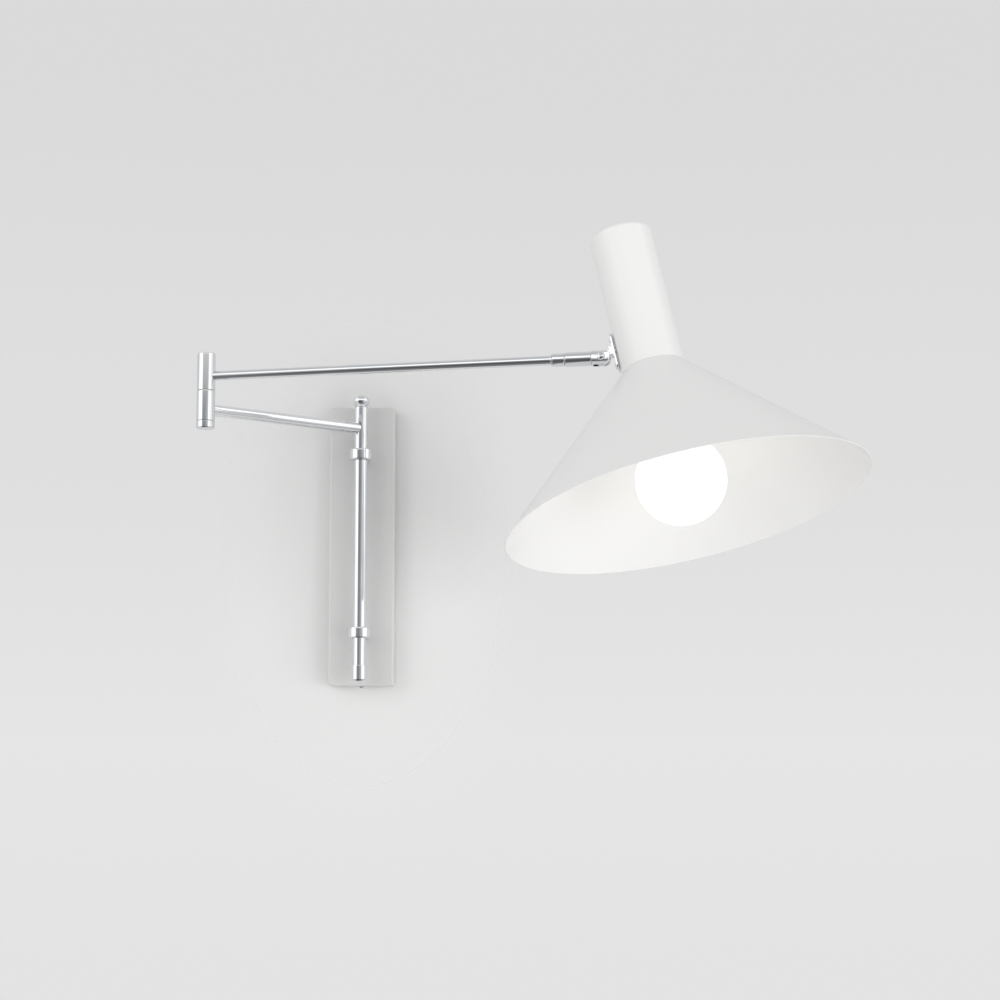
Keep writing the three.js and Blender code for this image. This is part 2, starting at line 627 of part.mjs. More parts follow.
function addRod() {
  piece(rodGroup, 'rod_tube', rodTube(), chrome);
  piece(rodGroup, 'rod_finial', rodFinial(), chrome);
  piece(rodGroup, 'rod_end_cap', rodEndCap(), chrome);
  piece(rodGroup, 'short_arm_tube', shortArmTube(), chrome);
  const washerLow = ELBOW_SPLIT - ELBOW_WASHER / 2;
  const washer = tube(ELBOW_R - CHAMFER, ELBOW_PIN_R + SEAT, washerLow, washerLow + ELBOW_WASHER);
  for (const [name, geometry, look] of [
    ['elbow_lower_barrel', elbowLowerBarrel(), chrome],
    ['elbow_bottom_plug', elbowBottomPlug(), chrome],
    ['elbow_pin', elbowPin(), zinc],
    ['elbow_washer', washer, nylon],
  ]) {
    piece(rodGroup, name, geometry, look).position.x = SHORT_ARM_LENGTH;
  }
}

// ---- upper half of the elbow and the long arm ----

// Places along the long arm, measured from the elbow's axis
const FORK_START = LONG_ARM_LENGTH - FORK_REACH;
const SLEEVE_END = FORK_START - SEAT;
const SLEEVE_START = SLEEVE_END - SLEEVE_LENGTH;
const FERRULE_START = SLEEVE_START - SEAT - FERRULE_LENGTH;
const RING_START = FERRULE_START - SEAT - RING_WIDTH;
const TUBE_END = FERRULE_START + TUBE_IN_FERRULE;
const SPINDLE_HEAD_START = SLEEVE_END - SPINDLE_HEAD - SPIGOT_LENGTH;

function elbowUpperBarrel() {
  const seat = TOP_PLUG_R + SEAT;
  const step = ELBOW_TOP - TOP_PLUG - SEAT;
  const bore = ELBOW_PIN_R + RUN;
  const edge = fillet(ELBOW_R, ELBOW_TOP, ELBOW_FILLET, 0, 90, 3);
  const barrel = turned([
    [bore, UPPER_BARREL_BOTTOM],
    [ELBOW_R - FINE_CHAMFER, UPPER_BARREL_BOTTOM],
    [ELBOW_R, UPPER_BARREL_BOTTOM + FINE_CHAMFER],
    ...edge,
    [seat, ELBOW_TOP], [seat, step], [bore, step], [bore, UPPER_BARREL_BOTTOM],
  ]);
  const wireHole = alongX(cylinder(WIRE_HOLE_R, 0, ELBOW_R + 2, HOLE_ROUND));
  return carve([barrel], [wireHole.translate(0, 0, LONG_ARM_Z)]);
}

function longArmTube() {
  const arm = alongX(tube(LONG_ARM_R, LONG_ARM_BORE, ARM_OVERLAP, TUBE_END));
  const barrel = cylinder(ELBOW_R + SEAT, LONG_ARM_Z - CUT, LONG_ARM_Z + CUT);
  return carve([arm.translate(0, 0, LONG_ARM_Z)], [barrel]);
}

function armEndFerrule() {
  const end = FERRULE_START + FERRULE_LENGTH;
  const socket = LONG_ARM_R + SEAT;
  const web = TUBE_END + SEAT;
  return alongX(turned([
    [socket, FERRULE_START], [FERRULE_R, FERRULE_START],
    [FERRULE_R, end - CHAMFER], [FERRULE_R - CHAMFER, end],
    [SPINDLE_R + BORE, end], [SPINDLE_R + BORE, web], [socket, web], [socket, FERRULE_START],
  ])).translate(0, 0, LONG_ARM_Z);
}

function swivelSpindle() {
  const start = FERRULE_START + 1;
  const slim = LONG_ARM_BORE - SEAT;
  const shoulder = TUBE_END + SEAT;
  const headStart = SPINDLE_HEAD_START + RUN;
  const headEnd = SPINDLE_HEAD_START + SPINDLE_HEAD;
  return alongX(turned([
    [SPINDLE_BORE, start], [slim, start], [slim, shoulder], [SPINDLE_R, shoulder], [SPINDLE_R, headStart],
    [SPINDLE_HEAD_R, headStart], [SPINDLE_HEAD_R, headEnd], [SPINDLE_BORE, headEnd], [SPINDLE_BORE, start],
  ])).translate(0, 0, LONG_ARM_Z);
}

function addLongArm() {
  piece(elbowGroup, 'elbow_upper_barrel', elbowUpperBarrel(), chrome);
  piece(elbowGroup, 'elbow_top_plug', cylinder(TOP_PLUG_R, ELBOW_TOP - TOP_PLUG, ELBOW_TOP - BORE), chrome);
  piece(elbowGroup, 'long_arm_tube', longArmTube(), chrome);
  const ring = alongX(tube(RING_R, LONG_ARM_R + SEAT, RING_START, RING_START + RING_WIDTH));
  piece(elbowGroup, 'arm_end_ring', ring.translate(0, 0, LONG_ARM_Z), chrome);
  piece(elbowGroup, 'arm_end_ferrule', armEndFerrule(), chrome);
  piece(elbowGroup, 'swivel_spindle', swivelSpindle(), zinc);
}

// ---- swivel sleeve and tilt knuckle ----

const SPIGOT_START = SPINDLE_HEAD_START + SPINDLE_HEAD + SEAT;

function swivelSleeve() {
  const bore = SPINDLE_R + RUN;
  const counterbore = SPINDLE_HEAD_R + SEAT;
  return alongX(turned([
    [bore, SLEEVE_START], [SLEEVE_R - CHAMFER, SLEEVE_START], [SLEEVE_R, SLEEVE_START + CHAMFER],
    [SLEEVE_R, SLEEVE_END], [counterbore, SLEEVE_END], [counterbore, SPINDLE_HEAD_START],
    [bore, SPINDLE_HEAD_START], [bore, SLEEVE_START],
  ]));
}

function knuckleFork() {
  const round = alongX(cylinder(FORK_R, FORK_START, LONG_ARM_LENGTH + FORK_EYE_R + 1));
  const spigot = alongX(cylinder(SPINDLE_HEAD_R, SPIGOT_START, FORK_START + 1, SMALL_ROUND));
  const eye = alongY(cylinder(FORK_EYE_R, -CUT, CUT)).translate(LONG_ARM_LENGTH, 0, 0);
  const shank = block(SPIGOT_START - 1, LONG_ARM_LENGTH, -CUT, CUT, -CUT, CUT);
  const outline = solidOf(eye).add(solidOf(shank));
  const body = geometryOf(solidOf(round).add(solidOf(spigot)).intersect(outline));
  const slotStart = LONG_ARM_LENGTH - TONGUE_EYE_R - CHAMFER;
  const end = LONG_ARM_LENGTH + CUT;
  return carve([body], [
    block(slotStart, end, -FORK_SLOT / 2, FORK_SLOT / 2, -CUT, CUT),
    block(slotStart - 1, end, FORK_FLAT, CUT, -CUT, CUT),
    block(slotStart - 1, end, -CUT, -FORK_FLAT, -CUT, CUT),
    alongY(cylinder(TILT_PIN_R + BORE, -CUT, CUT, HOLE_ROUND)).translate(LONG_ARM_LENGTH, 0, 0),
  ]);
}

function tiltScrew() {
  const seat = -FORK_FLAT - SEAT;
  const end = FORK_FLAT + SEAT + 1.6;
  const head = arc(0, seat, TILT_HEAD_R, TILT_HEAD, -90, 0, 5);
  const shank = [[TILT_PIN_R, seat], [TILT_PIN_R, end], [0, end]];
  const screw = alongY(turned([...head, ...shank], SMALL_ROUND));
  const slot = block(-0.5, 0.5, seat - TILT_HEAD - 1, seat - TILT_HEAD + SLOT_DEPTH, -CUT, CUT);
  return carve([screw], [slot]).translate(LONG_ARM_LENGTH, 0, 0);
}

function tiltNut() {
  const seat = FORK_FLAT + SEAT;
  const dome = arc(0, seat + 2, TILT_NUT_R, TILT_HEAD, 0, 90, 4);
  const nut = alongY(turned([[0, seat], [TILT_NUT_R, seat], ...dome], SMALL_ROUND));
  const thread = alongY(cylinder(TILT_PIN_R + BORE, seat - 1, seat + 2, HOLE_ROUND));
  return carve([nut], [thread]).translate(LONG_ARM_LENGTH, 0, 0);
}

function addWrist() {
  piece(wristGroup, 'swivel_sleeve', swivelSleeve(), chrome);
  piece(wristGroup, 'knuckle_fork', knuckleFork(), chrome);
  piece(wristGroup, 'tilt_screw', tiltScrew(), chrome);
  piece(wristGroup, 'tilt_nut', tiltNut(), chrome);
  const gap = (FORK_SLOT / 2 - TONGUE_THICKNESS / 2 - FRICTION_WASHER) / 2;
  for (const [label, side] of [['front', -1], ['rear', 1]]) {
    const inner = TONGUE_THICKNESS / 2 + gap;
    const low = side > 0 ? inner : -inner - FRICTION_WASHER;
    const high = low + FRICTION_WASHER;
    const washer = alongY(tube(TONGUE_EYE_R - CHAMFER, TILT_PIN_R + BORE, low, high, SMALL_ROUND));
    piece(wristGroup, `friction_washer_${label}`, washer, nylon).position.x = LONG_ARM_LENGTH;
  }
}

// ---- head: tongue, mount plate, neck, cone, lampholder and bulb ----

const MOUNT_PLATE_BACK = NECK_FACE - SEAT;
const MOUNT_PLATE_FRONT = MOUNT_PLATE_BACK - MOUNT_PLATE_THICKNESS;
const STUD_HEIGHT = (TONGUE_BLOCK_LOW + TONGUE_BLOCK_HIGH) / 2;
const SCREW_HEIGHTS = [MOUNT_PLATE_LOW + MOUNT_SCREW_INSET, MOUNT_PLATE_HIGH - MOUNT_SCREW_INSET];

// Where a flat-faced nut clears the neck's curved inner wall, measured from the tilt pin.
function nutFace(flats) {
  const inner = NECK_R - NECK_WALL;
  const corner = flats / Math.sqrt(3);
  return NECK_OFFSET - Math.sqrt(inner * inner - corner * corner) + SEAT;
}

function knuckleTongue() {
  const t = TONGUE_THICKNESS / 2;
  const w = TONGUE_BLOCK_WIDTH / 2;
  const end = MOUNT_PLATE_FRONT - SEAT;
  const lip = TONGUE_BASE_LIP;
  const eye = alongY(cylinder(TONGUE_EYE_R, -t, t));
  const web = block(0, end - 0.5, -t, t, TONGUE_BLOCK_LOW, TONGUE_EYE_R - 1);
  const blockBody = block(FORK_EYE_R + SEAT + RUN, end, -w, w, TONGUE_BLOCK_LOW, TONGUE_BLOCK_HIGH);
  const base = block(end - 1, end, -w - lip, w + lip, TONGUE_BLOCK_LOW - lip, TONGUE_BLOCK_HIGH + lip);
  const studEnd = nutFace(TONGUE_STUD_NUT_FLATS) + 4;
  const stud = alongX(cylinder(TONGUE_STUD_R, end - 1, studEnd, HOLE_ROUND)).translate(0, 0, STUD_HEIGHT);
  const bore = alongY(cylinder(TILT_PIN_R + RUN, -CUT, CUT, SMALL_ROUND));
  return carve([eye, web, blockBody, base, stud], [bore]);
}

function mountPlate() {
  const height = MOUNT_PLATE_HIGH - MOUNT_PLATE_LOW;
  const middle = (MOUNT_PLATE_HIGH + MOUNT_PLATE_LOW) / 2 - SEAM_DROP;
  const outline = roundedRectangle(height, MOUNT_PLATE_WIDTH, MOUNT_PLATE_CORNER);
  const plate = slab(outline, MOUNT_PLATE_THICKNESS, 8).rotateY(Math.PI / 2);
  plate.translate(MOUNT_PLATE_FRONT, 0, middle);
  const hole = (r, z) => {
    const drill = alongX(cylinder(r, MOUNT_PLATE_FRONT - 1, MOUNT_PLATE_BACK + 1, HOLE_ROUND));
    return drill.translate(0, 0, z);
  };
  const holes = SCREW_HEIGHTS.map((z) => hole(MOUNT_SCREW_R + BORE, z - SEAM_DROP));
  return carve([plate], [...holes, hole(TONGUE_STUD_R + BORE, STUD_HEIGHT)]);
}

function mountScrew() {
  const seat = MOUNT_PLATE_FRONT - SEAT;
  const head = arc(0, seat, MOUNT_SCREW_HEAD_R, MOUNT_SCREW_HEAD, -90, 0, 4);
  const end = nutFace(MOUNT_NUT_FLATS) + 3;
  const shank = [[MOUNT_SCREW_R, seat], [MOUNT_SCREW_R, end], [0, end]];
  const screw = alongX(turned([...head, ...shank], HOLE_ROUND));
  const tip = seat - MOUNT_SCREW_HEAD;
  const slot = block(tip - 1, tip + SLOT_DEPTH, -CUT, CUT, -0.4, 0.4);
  return carve([screw], [slot]);
}

function neckHousing() {
  const inner = NECK_R - NECK_WALL;
  const innerTop = NECK_HEIGHT - NECK_WALL;
  const innerFillet = NECK_FILLET - NECK_WALL;
  const hole = CENTRE_ROD_R + SEAT;
  const outerEdge = fillet(NECK_R, NECK_HEIGHT, NECK_FILLET, 0, 90, 4);
  const innerEdge = fillet(inner, innerTop, innerFillet, 90, 0, 2);
  const shell = turned([
    [inner, SEAT], [NECK_R, SEAT], ...outerEdge,
    [hole, NECK_HEIGHT], [hole, innerTop], ...innerEdge, [inner, SEAT],
  ], BIG_ROUND);
  const drill = (r, z) => alongX(cylinder(r, -NECK_R - 2, -inner + 4, HOLE_ROUND)).translate(0, 0, z);
  const holes = SCREW_HEIGHTS.map((z) => drill(MOUNT_SCREW_R + BORE, z));
  return carve([shell], [...holes, drill(TONGUE_STUD_R + BORE, STUD_HEIGHT + SEAM_DROP)]);
}

function shadeCone() {
  const collar = NECK_R - NECK_WALL - SEAT;
  const run = CONE_R - NECK_R;
  const slope = Math.hypot(run, CONE_HEIGHT);
  const sideways = (CONE_WALL * slope) / CONE_HEIGHT;
  const start = 1.8;
  const startR = NECK_R + (run * start) / CONE_HEIGHT - sideways;
  const mouth = HOLDER_R + 3 * SEAT;
  const flangeLow = CONE_COLLAR_HEIGHT - CONE_FLANGE;
  return turned([
    [CONE_R - sideways, -CONE_HEIGHT], [CONE_R, -CONE_HEIGHT],
    [NECK_R, 0], [collar, 0], [collar, CONE_COLLAR_HEIGHT],
    [mouth, CONE_COLLAR_HEIGHT], [mouth, flangeLow],
    [collar - CONE_WALL, flangeLow], [collar - CONE_WALL, -0.8],
    [startR, -start], [CONE_R - sideways, -CONE_HEIGHT],
  ], BIG_ROUND);
}

function shadeFinial() {
  const base = NECK_HEIGHT + SEAT;
  const bodyTop = base + SHADE_FINIAL_HEIGHT - SHADE_FINIAL_R;
  const dome = arc(0, bodyTop, SHADE_FINIAL_R, SHADE_FINIAL_R, 0, 90, 4);
  const bore = CENTRE_ROD_R + BORE;
  return turned([
    [bore, base], [SHADE_FINIAL_R - CHAMFER, base], [SHADE_FINIAL_R, base + CHAMFER], ...dome,
    [0, base + SHADE_FINIAL_BORE + CHAMFER], [bore, base + SHADE_FINIAL_BORE], [bore, base],
  ], SMALL_ROUND);
}

function lampholderBody() {
  const inner = HOLDER_R - HOLDER_WALL;
  const shoulder = CONE_COLLAR_HEIGHT + SEAT;
  const shoulderTop = shoulder + HOLDER_SHOULDER;
  return turned([
    [inner, HOLDER_BOTTOM], [HOLDER_R - CHAMFER, HOLDER_BOTTOM], [HOLDER_R, HOLDER_BOTTOM + CHAMFER],
    [HOLDER_R, shoulder], [HOLDER_SHOULDER_R, shoulder], [HOLDER_SHOULDER_R, shoulderTop],
    [HOLDER_R, shoulderTop], [HOLDER_R, HOLDER_TOP], [inner, HOLDER_TOP], [inner, HOLDER_BOTTOM],
  ]);
}

function lampholderCap() {
  const base = HOLDER_TOP + SEAT;
  const top = base + HOLDER_CAP_HEIGHT;
  const hole = CENTRE_ROD_R + BORE;
  const inner = HOLDER_R - HOLDER_WALL;
  const skirt = base + HOLDER_CAP_SKIRT;
  const crown = HOLDER_CAP_CROWN_R;
  return turned([
    [inner, base], [HOLDER_R, base], [HOLDER_R, skirt],
    ...arc(crown, skirt, HOLDER_R - crown, 8, 0, 80, 5),
    [HOLDER_CAP_NIPPLE_R, top - 4.5], [HOLDER_CAP_NIPPLE_R, top], [hole, top],
    [hole, skirt + 5], ...arc(crown, skirt - 1, inner - crown, 6, 90, 0, 4), [inner, base],
  ]);
}

function lampholderInsert() {
  const top = INSERT_LOW + INSERT_HEIGHT;
  const disc = cylinder(HOLDER_R - HOLDER_WALL - SEAT, INSERT_LOW, top);
  const holes = [-9, 9].map((x) => cylinder(2.2, top - 5, top + 1, HOLE_ROUND).translate(x, 0, 0));
  return carve([disc], holes);
}

function centreContact() {
  const top = INSERT_LOW - SEAT;
  return turned([
    [0, top - 5], [2.2, top - 5], [3.4, top - 4], [3.4, top - 3], [1.4, top - 2.4], [1.4, top], [0, top],
  ], HOLE_ROUND);
}

function bulbCap() {
  const top = BULB_CAP_BOTTOM + BULB_CAP_LENGTH;
  const inner = BULB_CAP_R - BULB_CAP_WALL;
  return turned([
    [inner, BULB_CAP_BOTTOM], [BULB_CAP_R, BULB_CAP_BOTTOM],
    [BULB_CAP_R, top - 5], [5, top - 1.5], [4.6, top],
    [0, top + 1], [0, top - 1], [4, top - 2.4], [inner, top - 5.8], [inner, BULB_CAP_BOTTOM],
  ]);
}

// Outline of the bulb's glass at a given inset: ball below, drawn-in neck above.
function bulbOutline(inset) {
  const ball = BULB_R - inset;
  const points = arc(0, BULB_CENTRE, ball, ball, -90, BULB_SHOULDER, 9);
  const [r, z] = points[points.length - 1];
  const neckR = BULB_NECK_R - inset;
  const neckZ = BULB_CAP_BOTTOM - 4;
  const reach = (r - neckR) / Math.tan(rad(BULB_SHOULDER));
  const bend = new THREE.QuadraticBezierCurve(
    new THREE.Vector2(r, z),
    new THREE.Vector2(neckR, Math.min(z + reach * 1.6, neckZ - 1)),
    new THREE.Vector2(neckR, neckZ),
  );
  for (const point of bend.getPoints(4).slice(1)) {
    points.push([point.x, point.y]);
  }
  points.push([neckR, BULB_CAP_BOTTOM + 6]);
  return points;
}

function bulbGlobe() {
  return turned([...bulbOutline(0), ...bulbOutline(GLASS).reverse()]);
}

function addHead() {
  piece(headGroup, 'knuckle_tongue', knuckleTongue(), chrome);
  piece(headGroup, 'mount_plate', mountPlate(), chrome);
  const studNut = nutFace(TONGUE_STUD_NUT_FLATS);
  const stud = hexNut(TONGUE_STUD_NUT_FLATS, TONGUE_STUD_R + BORE, studNut, studNut + 3.5);
  piece(headGroup, 'knuckle_nut', alongX(stud), zinc).position.z = STUD_HEIGHT;
  for (const [label, z] of [['lower', SCREW_HEIGHTS[0]], ['upper', SCREW_HEIGHTS[1]]]) {
    const face = nutFace(MOUNT_NUT_FLATS);
    const nut = alongX(hexNut(MOUNT_NUT_FLATS, MOUNT_SCREW_R + BORE, face, face + 2.4));
    piece(headGroup, `mount_screw_${label}`, mountScrew(), chrome).position.z = z - SEAM_DROP;
    piece(headGroup, `mount_nut_${label}`, nut, zinc).position.z = z - SEAM_DROP;
  }
  piece(neckGroup, 'neck_housing', neckHousing(), white);
  piece(neckGroup, 'shade_cone', shadeCone(), white);
  piece(neckGroup, 'shade_finial', shadeFinial(), chrome);
  const rodLow = HOLDER_TOP + HOLDER_CAP_HEIGHT - 7;
  const rodHigh = NECK_HEIGHT + SHADE_FINIAL_BORE - CHAMFER;
  const nutTop = NECK_HEIGHT - NECK_WALL - SEAT;
  const nut = hexNut(CENTRE_ROD_NUT_FLATS, CENTRE_ROD_R + BORE, nutTop - CENTRE_ROD_NUT, nutTop);
  piece(neckGroup, 'centre_rod', cylinder(CENTRE_ROD_R, rodLow, rodHigh, HOLE_ROUND), zinc);
  piece(neckGroup, 'centre_rod_nut', nut, zinc);
  piece(neckGroup, 'lampholder_cap', lampholderCap(), bakelite);
  piece(neckGroup, 'lampholder_body', lampholderBody(), bakelite);
  const ringTop = CONE_COLLAR_HEIGHT - CONE_FLANGE - SEAT;
  const ring = tube(SHADE_RING_R, HOLDER_R + SEAT, ringTop - SHADE_RING, ringTop);
  piece(neckGroup, 'shade_ring', ring, bakelite);
  piece(neckGroup, 'lampholder_insert', lampholderInsert(), ceramic);
  const shellTop = INSERT_LOW - SEAT;
  const shell = tube(SHELL_R, SHELL_R - SHELL_WALL, shellTop - SHELL_LENGTH, shellTop);
  piece(neckGroup, 'screw_shell', shell, brass);
  piece(neckGroup, 'centre_contact', centreContact(), brass);
  piece(neckGroup, 'bulb_cap', bulbCap(), zinc);
  piece(neckGroup, 'bulb_globe', bulbGlobe(), opal);
}

addWallMount();
addRod();
addLongArm();
addWrist();
addHead();

export default lamp;
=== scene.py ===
import json
import math

import bmesh
import bpy
from mathutils import Matrix, Vector


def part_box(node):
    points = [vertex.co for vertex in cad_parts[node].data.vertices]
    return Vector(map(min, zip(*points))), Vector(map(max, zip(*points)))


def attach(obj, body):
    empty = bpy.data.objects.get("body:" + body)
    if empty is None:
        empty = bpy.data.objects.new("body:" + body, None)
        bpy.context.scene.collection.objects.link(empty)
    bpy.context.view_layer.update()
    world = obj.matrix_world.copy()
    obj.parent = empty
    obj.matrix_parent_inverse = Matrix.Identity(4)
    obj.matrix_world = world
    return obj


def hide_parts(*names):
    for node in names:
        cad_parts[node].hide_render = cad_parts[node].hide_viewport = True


# Swing arm wall lamp: polished rod, two arms and knuckle, white plate and cone shade, opal bulb.
# Lengths in the constants are millimetres, but metres in the studio.
# The wall is the plane y = 0 and the lamp stands out towards -Y.
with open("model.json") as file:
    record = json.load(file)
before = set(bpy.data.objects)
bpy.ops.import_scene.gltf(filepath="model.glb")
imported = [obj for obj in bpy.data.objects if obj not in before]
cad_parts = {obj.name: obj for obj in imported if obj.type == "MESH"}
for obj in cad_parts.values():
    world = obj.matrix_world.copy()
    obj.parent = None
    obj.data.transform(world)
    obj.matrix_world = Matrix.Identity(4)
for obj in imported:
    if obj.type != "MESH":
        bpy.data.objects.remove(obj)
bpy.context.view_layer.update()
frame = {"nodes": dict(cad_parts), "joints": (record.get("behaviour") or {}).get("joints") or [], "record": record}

MM = 0.001
FULL_TURN = 2 * math.pi

# Wall plate
PLATE_WALL = 1.2
PLATE_CORNER = 2.5
PLATE_EDGE = 2.2
COLLAR_Z = 81
COLLAR_R = 10
COLLAR_HEIGHT = 10
COLLAR_BORE = 7.3
STEM_R = 4
STEM_FLANGE_R = 7.5

# Rod
ROD_R = 6
ROD_BORE = 4.5
ROD_TOP = 124.5
ROD_BOTTOM = -122.5
FINIAL_R = 7.6
FINIAL_TOP = 136
END_CAP_R = 7
END_CAP_BOTTOM = -125.2
END_CAP_TOP = -110.2

# Arms and elbow
SHORT_ARM_LENGTH = 165
SHORT_ARM_Z = 105
SHORT_ARM_R = 5
LONG_ARM_Z = 134
LONG_ARM_R = 4
ELBOW_R = 7.97
ELBOW_BOTTOM = 88
ELBOW_PLUG_TOP = 94.7
ELBOW_SPLIT = 121
ELBOW_TOP = 154
TOP_PLUG_R = 6

# Along the long arm from the elbow's axis
RING_START = 303.8
RING_END = 305
FERRULE_START = 305.3
FERRULE_END = 315.7
SLEEVE_START = 316
SLEEVE_END = 338
SLEEVE_R = 6
FERRULE_R = 5.5
RING_R = 5
FORK_R = 6.5
FORK_EYE_R = 6.8
FORK_SLOT = 4.6
FORK_FLAT = 5.6
TONGUE_EYE_R = 6.3

# Head
HEAD_TILT = math.radians(14)
NECK_OFFSET = 38.8
SEAM_DROP = 21.1
NECK_R = 26
NECK_HEIGHT = 123
NECK_WALL = 1.2
NECK_FILLET = 4
PLATE_BACK = NECK_OFFSET - NECK_R - 0.3
PLATE_FRONT = PLATE_BACK - 1.6
MOUNT_PLATE_LOW = 5.6
MOUNT_PLATE_HIGH = 38
MOUNT_SCREW_INSET = 5
STUD_HEIGHT = 3
CONE_R = 150
CONE_HEIGHT = 124
CONE_WALL = 1
BULB_R = 36.6
BULB_CENTRE = -98
BULB_NECK_R = 12.3
BULB_CAP_BOTTOM = -50


# ---- frames of the moving groups ----

def joint(name):
    """Place and axis of a joint at rest, in metres."""
    found = next(entry for entry in frame["joints"] if entry["name"] == name)
    return Vector(found["pos_m"]), Vector(found["axis"]).normalized()


def frame_at(origin, x_axis, z_axis):
    """Matrix of a local frame: its origin, its X, and its Z made square to X."""
    x = x_axis.normalized()
    y = z_axis.cross(x).normalized()
    z = x.cross(y)
    matrix = Matrix((x, y, z)).transposed().to_4x4()
    matrix.translation = origin
    return matrix


UP = Vector((0, 0, 1))
rod_at = joint("rod_swing")[0]
elbow_at = joint("elbow_swing")[0]
arm_at, arm_axis = joint("wrist_roll")
tilt_at, tilt_axis = joint("head_tilt")
elbow_foot = Vector((elbow_at.x, elbow_at.y, 0))

WALL = Matrix.Identity(4)
ROD = frame_at(Vector((rod_at.x, rod_at.y, 0)), elbow_foot - Vector((rod_at.x, rod_at.y, 0)), UP)
ELBOW = frame_at(elbow_foot, arm_axis, UP)
LOWER_ELBOW = frame_at(elbow_foot, ROD.col[0].to_3d(), UP)
WRIST = frame_at(elbow_foot + UP * arm_at.z, arm_axis, arm_axis.cross(-tilt_axis))
HEAD = frame_at(tilt_at, arm_axis, arm_axis.cross(-tilt_axis)) @ Matrix.Rotation(-HEAD_TILT, 4, "Y")
NECK = HEAD @ Matrix.Translation(Vector((NECK_OFFSET, 0, -SEAM_DROP)) * MM)
ALONG_X = Matrix.Rotation(math.pi / 2, 4, "Y")
ALONG_Y = Matrix.Rotation(-math.pi / 2, 4, "X")


def moved(x=0.0, y=0.0, z=0.0):
    return Matrix.Translation(Vector((x, y, z)) * MM)


# ---- shape helpers ----

def outline(corners, degrees=12):
    """Line through corner points (radius, height), each rounded where a third number gives its fillet.

    A short straight is held either side of each round, so that flats stay flat when shaded.
    """
    hold = 0.06
    line = []
    for index, corner in enumerate(corners):
        here = Vector(corner[:2])
        if len(corner) < 3:
            line.append(here)
            continue
        before = Vector(corners[index - 1][:2])
        after = Vector(corners[(index + 1) % len(corners)][:2])
        to_before = (before - here).normalized()
        to_after = (after - here).normalized()
        half = to_before.angle(to_after) / 2
        reach = corner[2] / math.tan(half)
        centre = here + (to_before + to_after).normalized() * corner[2] / math.sin(half)
        start = here + to_before * reach - centre
        end = here + to_after * reach - centre
        first = math.atan2(start.y, start.x)
        sweep = (math.atan2(end.y, end.x) - first + math.pi) % FULL_TURN - math.pi
        steps = max(2, round(abs(math.degrees(sweep)) / degrees))
        line.append(centre + start + to_before * hold)
        for step in range(steps + 1):
            angle = first + sweep * step / steps
            line.append(centre + Vector((math.cos(angle), math.sin(angle))) * corner[2])
        line.append(centre + end + to_after * hold)
    return line


def arc_points(centre_z, radius_r, radius_z, first, last, steps):
    """Points of an arc about the axis, angles in degrees from the outward radius."""
    points = []
    for step in range(steps + 1):
        angle = math.radians(first + (last - first) * step / steps)
        points.append(Vector((max(radius_r * math.cos(angle), 0.0), centre_z + radius_z * math.sin(angle))))
    return points


def spun(line, closed=False, steps=96):
    """A bmesh turned about Z from a line of (radius, height) points."""
    bm = bmesh.new()
    verts = [bm.verts.new((point[0] * MM, 0, point[1] * MM)) for point in line]
    edges = [bm.edges.new(pair) for pair in zip(verts, verts[1:])]
    if closed:
        edges.append(bm.edges.new((verts[-1], verts[0])))
    bmesh.ops.spin(
        bm, geom=verts + edges, cent=(0, 0, 0), axis=(0, 0, 1), dvec=(0, 0, 0),
        angle=FULL_TURN, steps=steps, use_merge=True, use_duplicate=False,
    )
    bmesh.ops.remove_doubles(bm, verts=bm.verts, dist=1e-7)
    bmesh.ops.recalc_face_normals(bm, faces=bm.faces)
    return bm


def ring(outer, inner, low, high, fillet=0.3, steps=96):
    """A turned tube with all four edges broken."""
    inside = fillet / 2
    corners = [(inner, low, inside), (outer, low, fillet), (outer, high, fillet), (inner, high, inside)]
    return spun(outline(corners), closed=True, steps=steps)


def placed(bm, matrix):
    bmesh.ops.transform(bm, matrix=matrix, verts=bm.verts)
    return bm


def joined(*parts):
    """One bmesh from several, which are freed."""
    whole = bmesh.new()
    for part in parts:
        scrap = bpy.data.meshes.new("scrap")
        part.to_mesh(scrap)
        part.free()
        whole.from_mesh(scrap)
        bpy.data.meshes.remove(scrap)
    return whole


def rounded_block(low, high, fillet, segments=4):
    """A box between two corners with every edge rounded."""
    bm = bmesh.new()
    size = [(b - a) * MM for a, b in zip(low, high)]
    middle = [(a + b) / 2 * MM for a, b in zip(low, high)]
    bmesh.ops.create_cube(bm, size=1)
    bmesh.ops.scale(bm, vec=size, verts=bm.verts)
    bmesh.ops.translate(bm, vec=middle, verts=bm.verts)
    round_edges(bm, bm.edges[:], fillet, segments)
    hold_flats(bm)
    return bm


def round_edges(bm, edges, fillet, segments=4):
    bmesh.ops.bevel(
        bm, geom=edges, offset=fillet * MM, offset_type="OFFSET", segments=segments,
        profile=0.5, affect="EDGES", material=-1,
    )


def hold_flats(bm, margin=0.12):
    """Insets the large flat faces a little, so that the rounds beside them don't shade across them."""
    flats = [face for face in bm.faces if face.calc_area() > (4 * MM) ** 2]
    if flats:
        bmesh.ops.inset_individual(bm, faces=flats, thickness=margin * MM, depth=0)


def scratch_object(name, bm):
    mesh = bpy.data.meshes.new(name)
    bm.to_mesh(mesh)
    bm.free()
    obj = bpy.data.objects.new(name, mesh)
    bpy.context.scene.collection.objects.link(obj)
    return obj


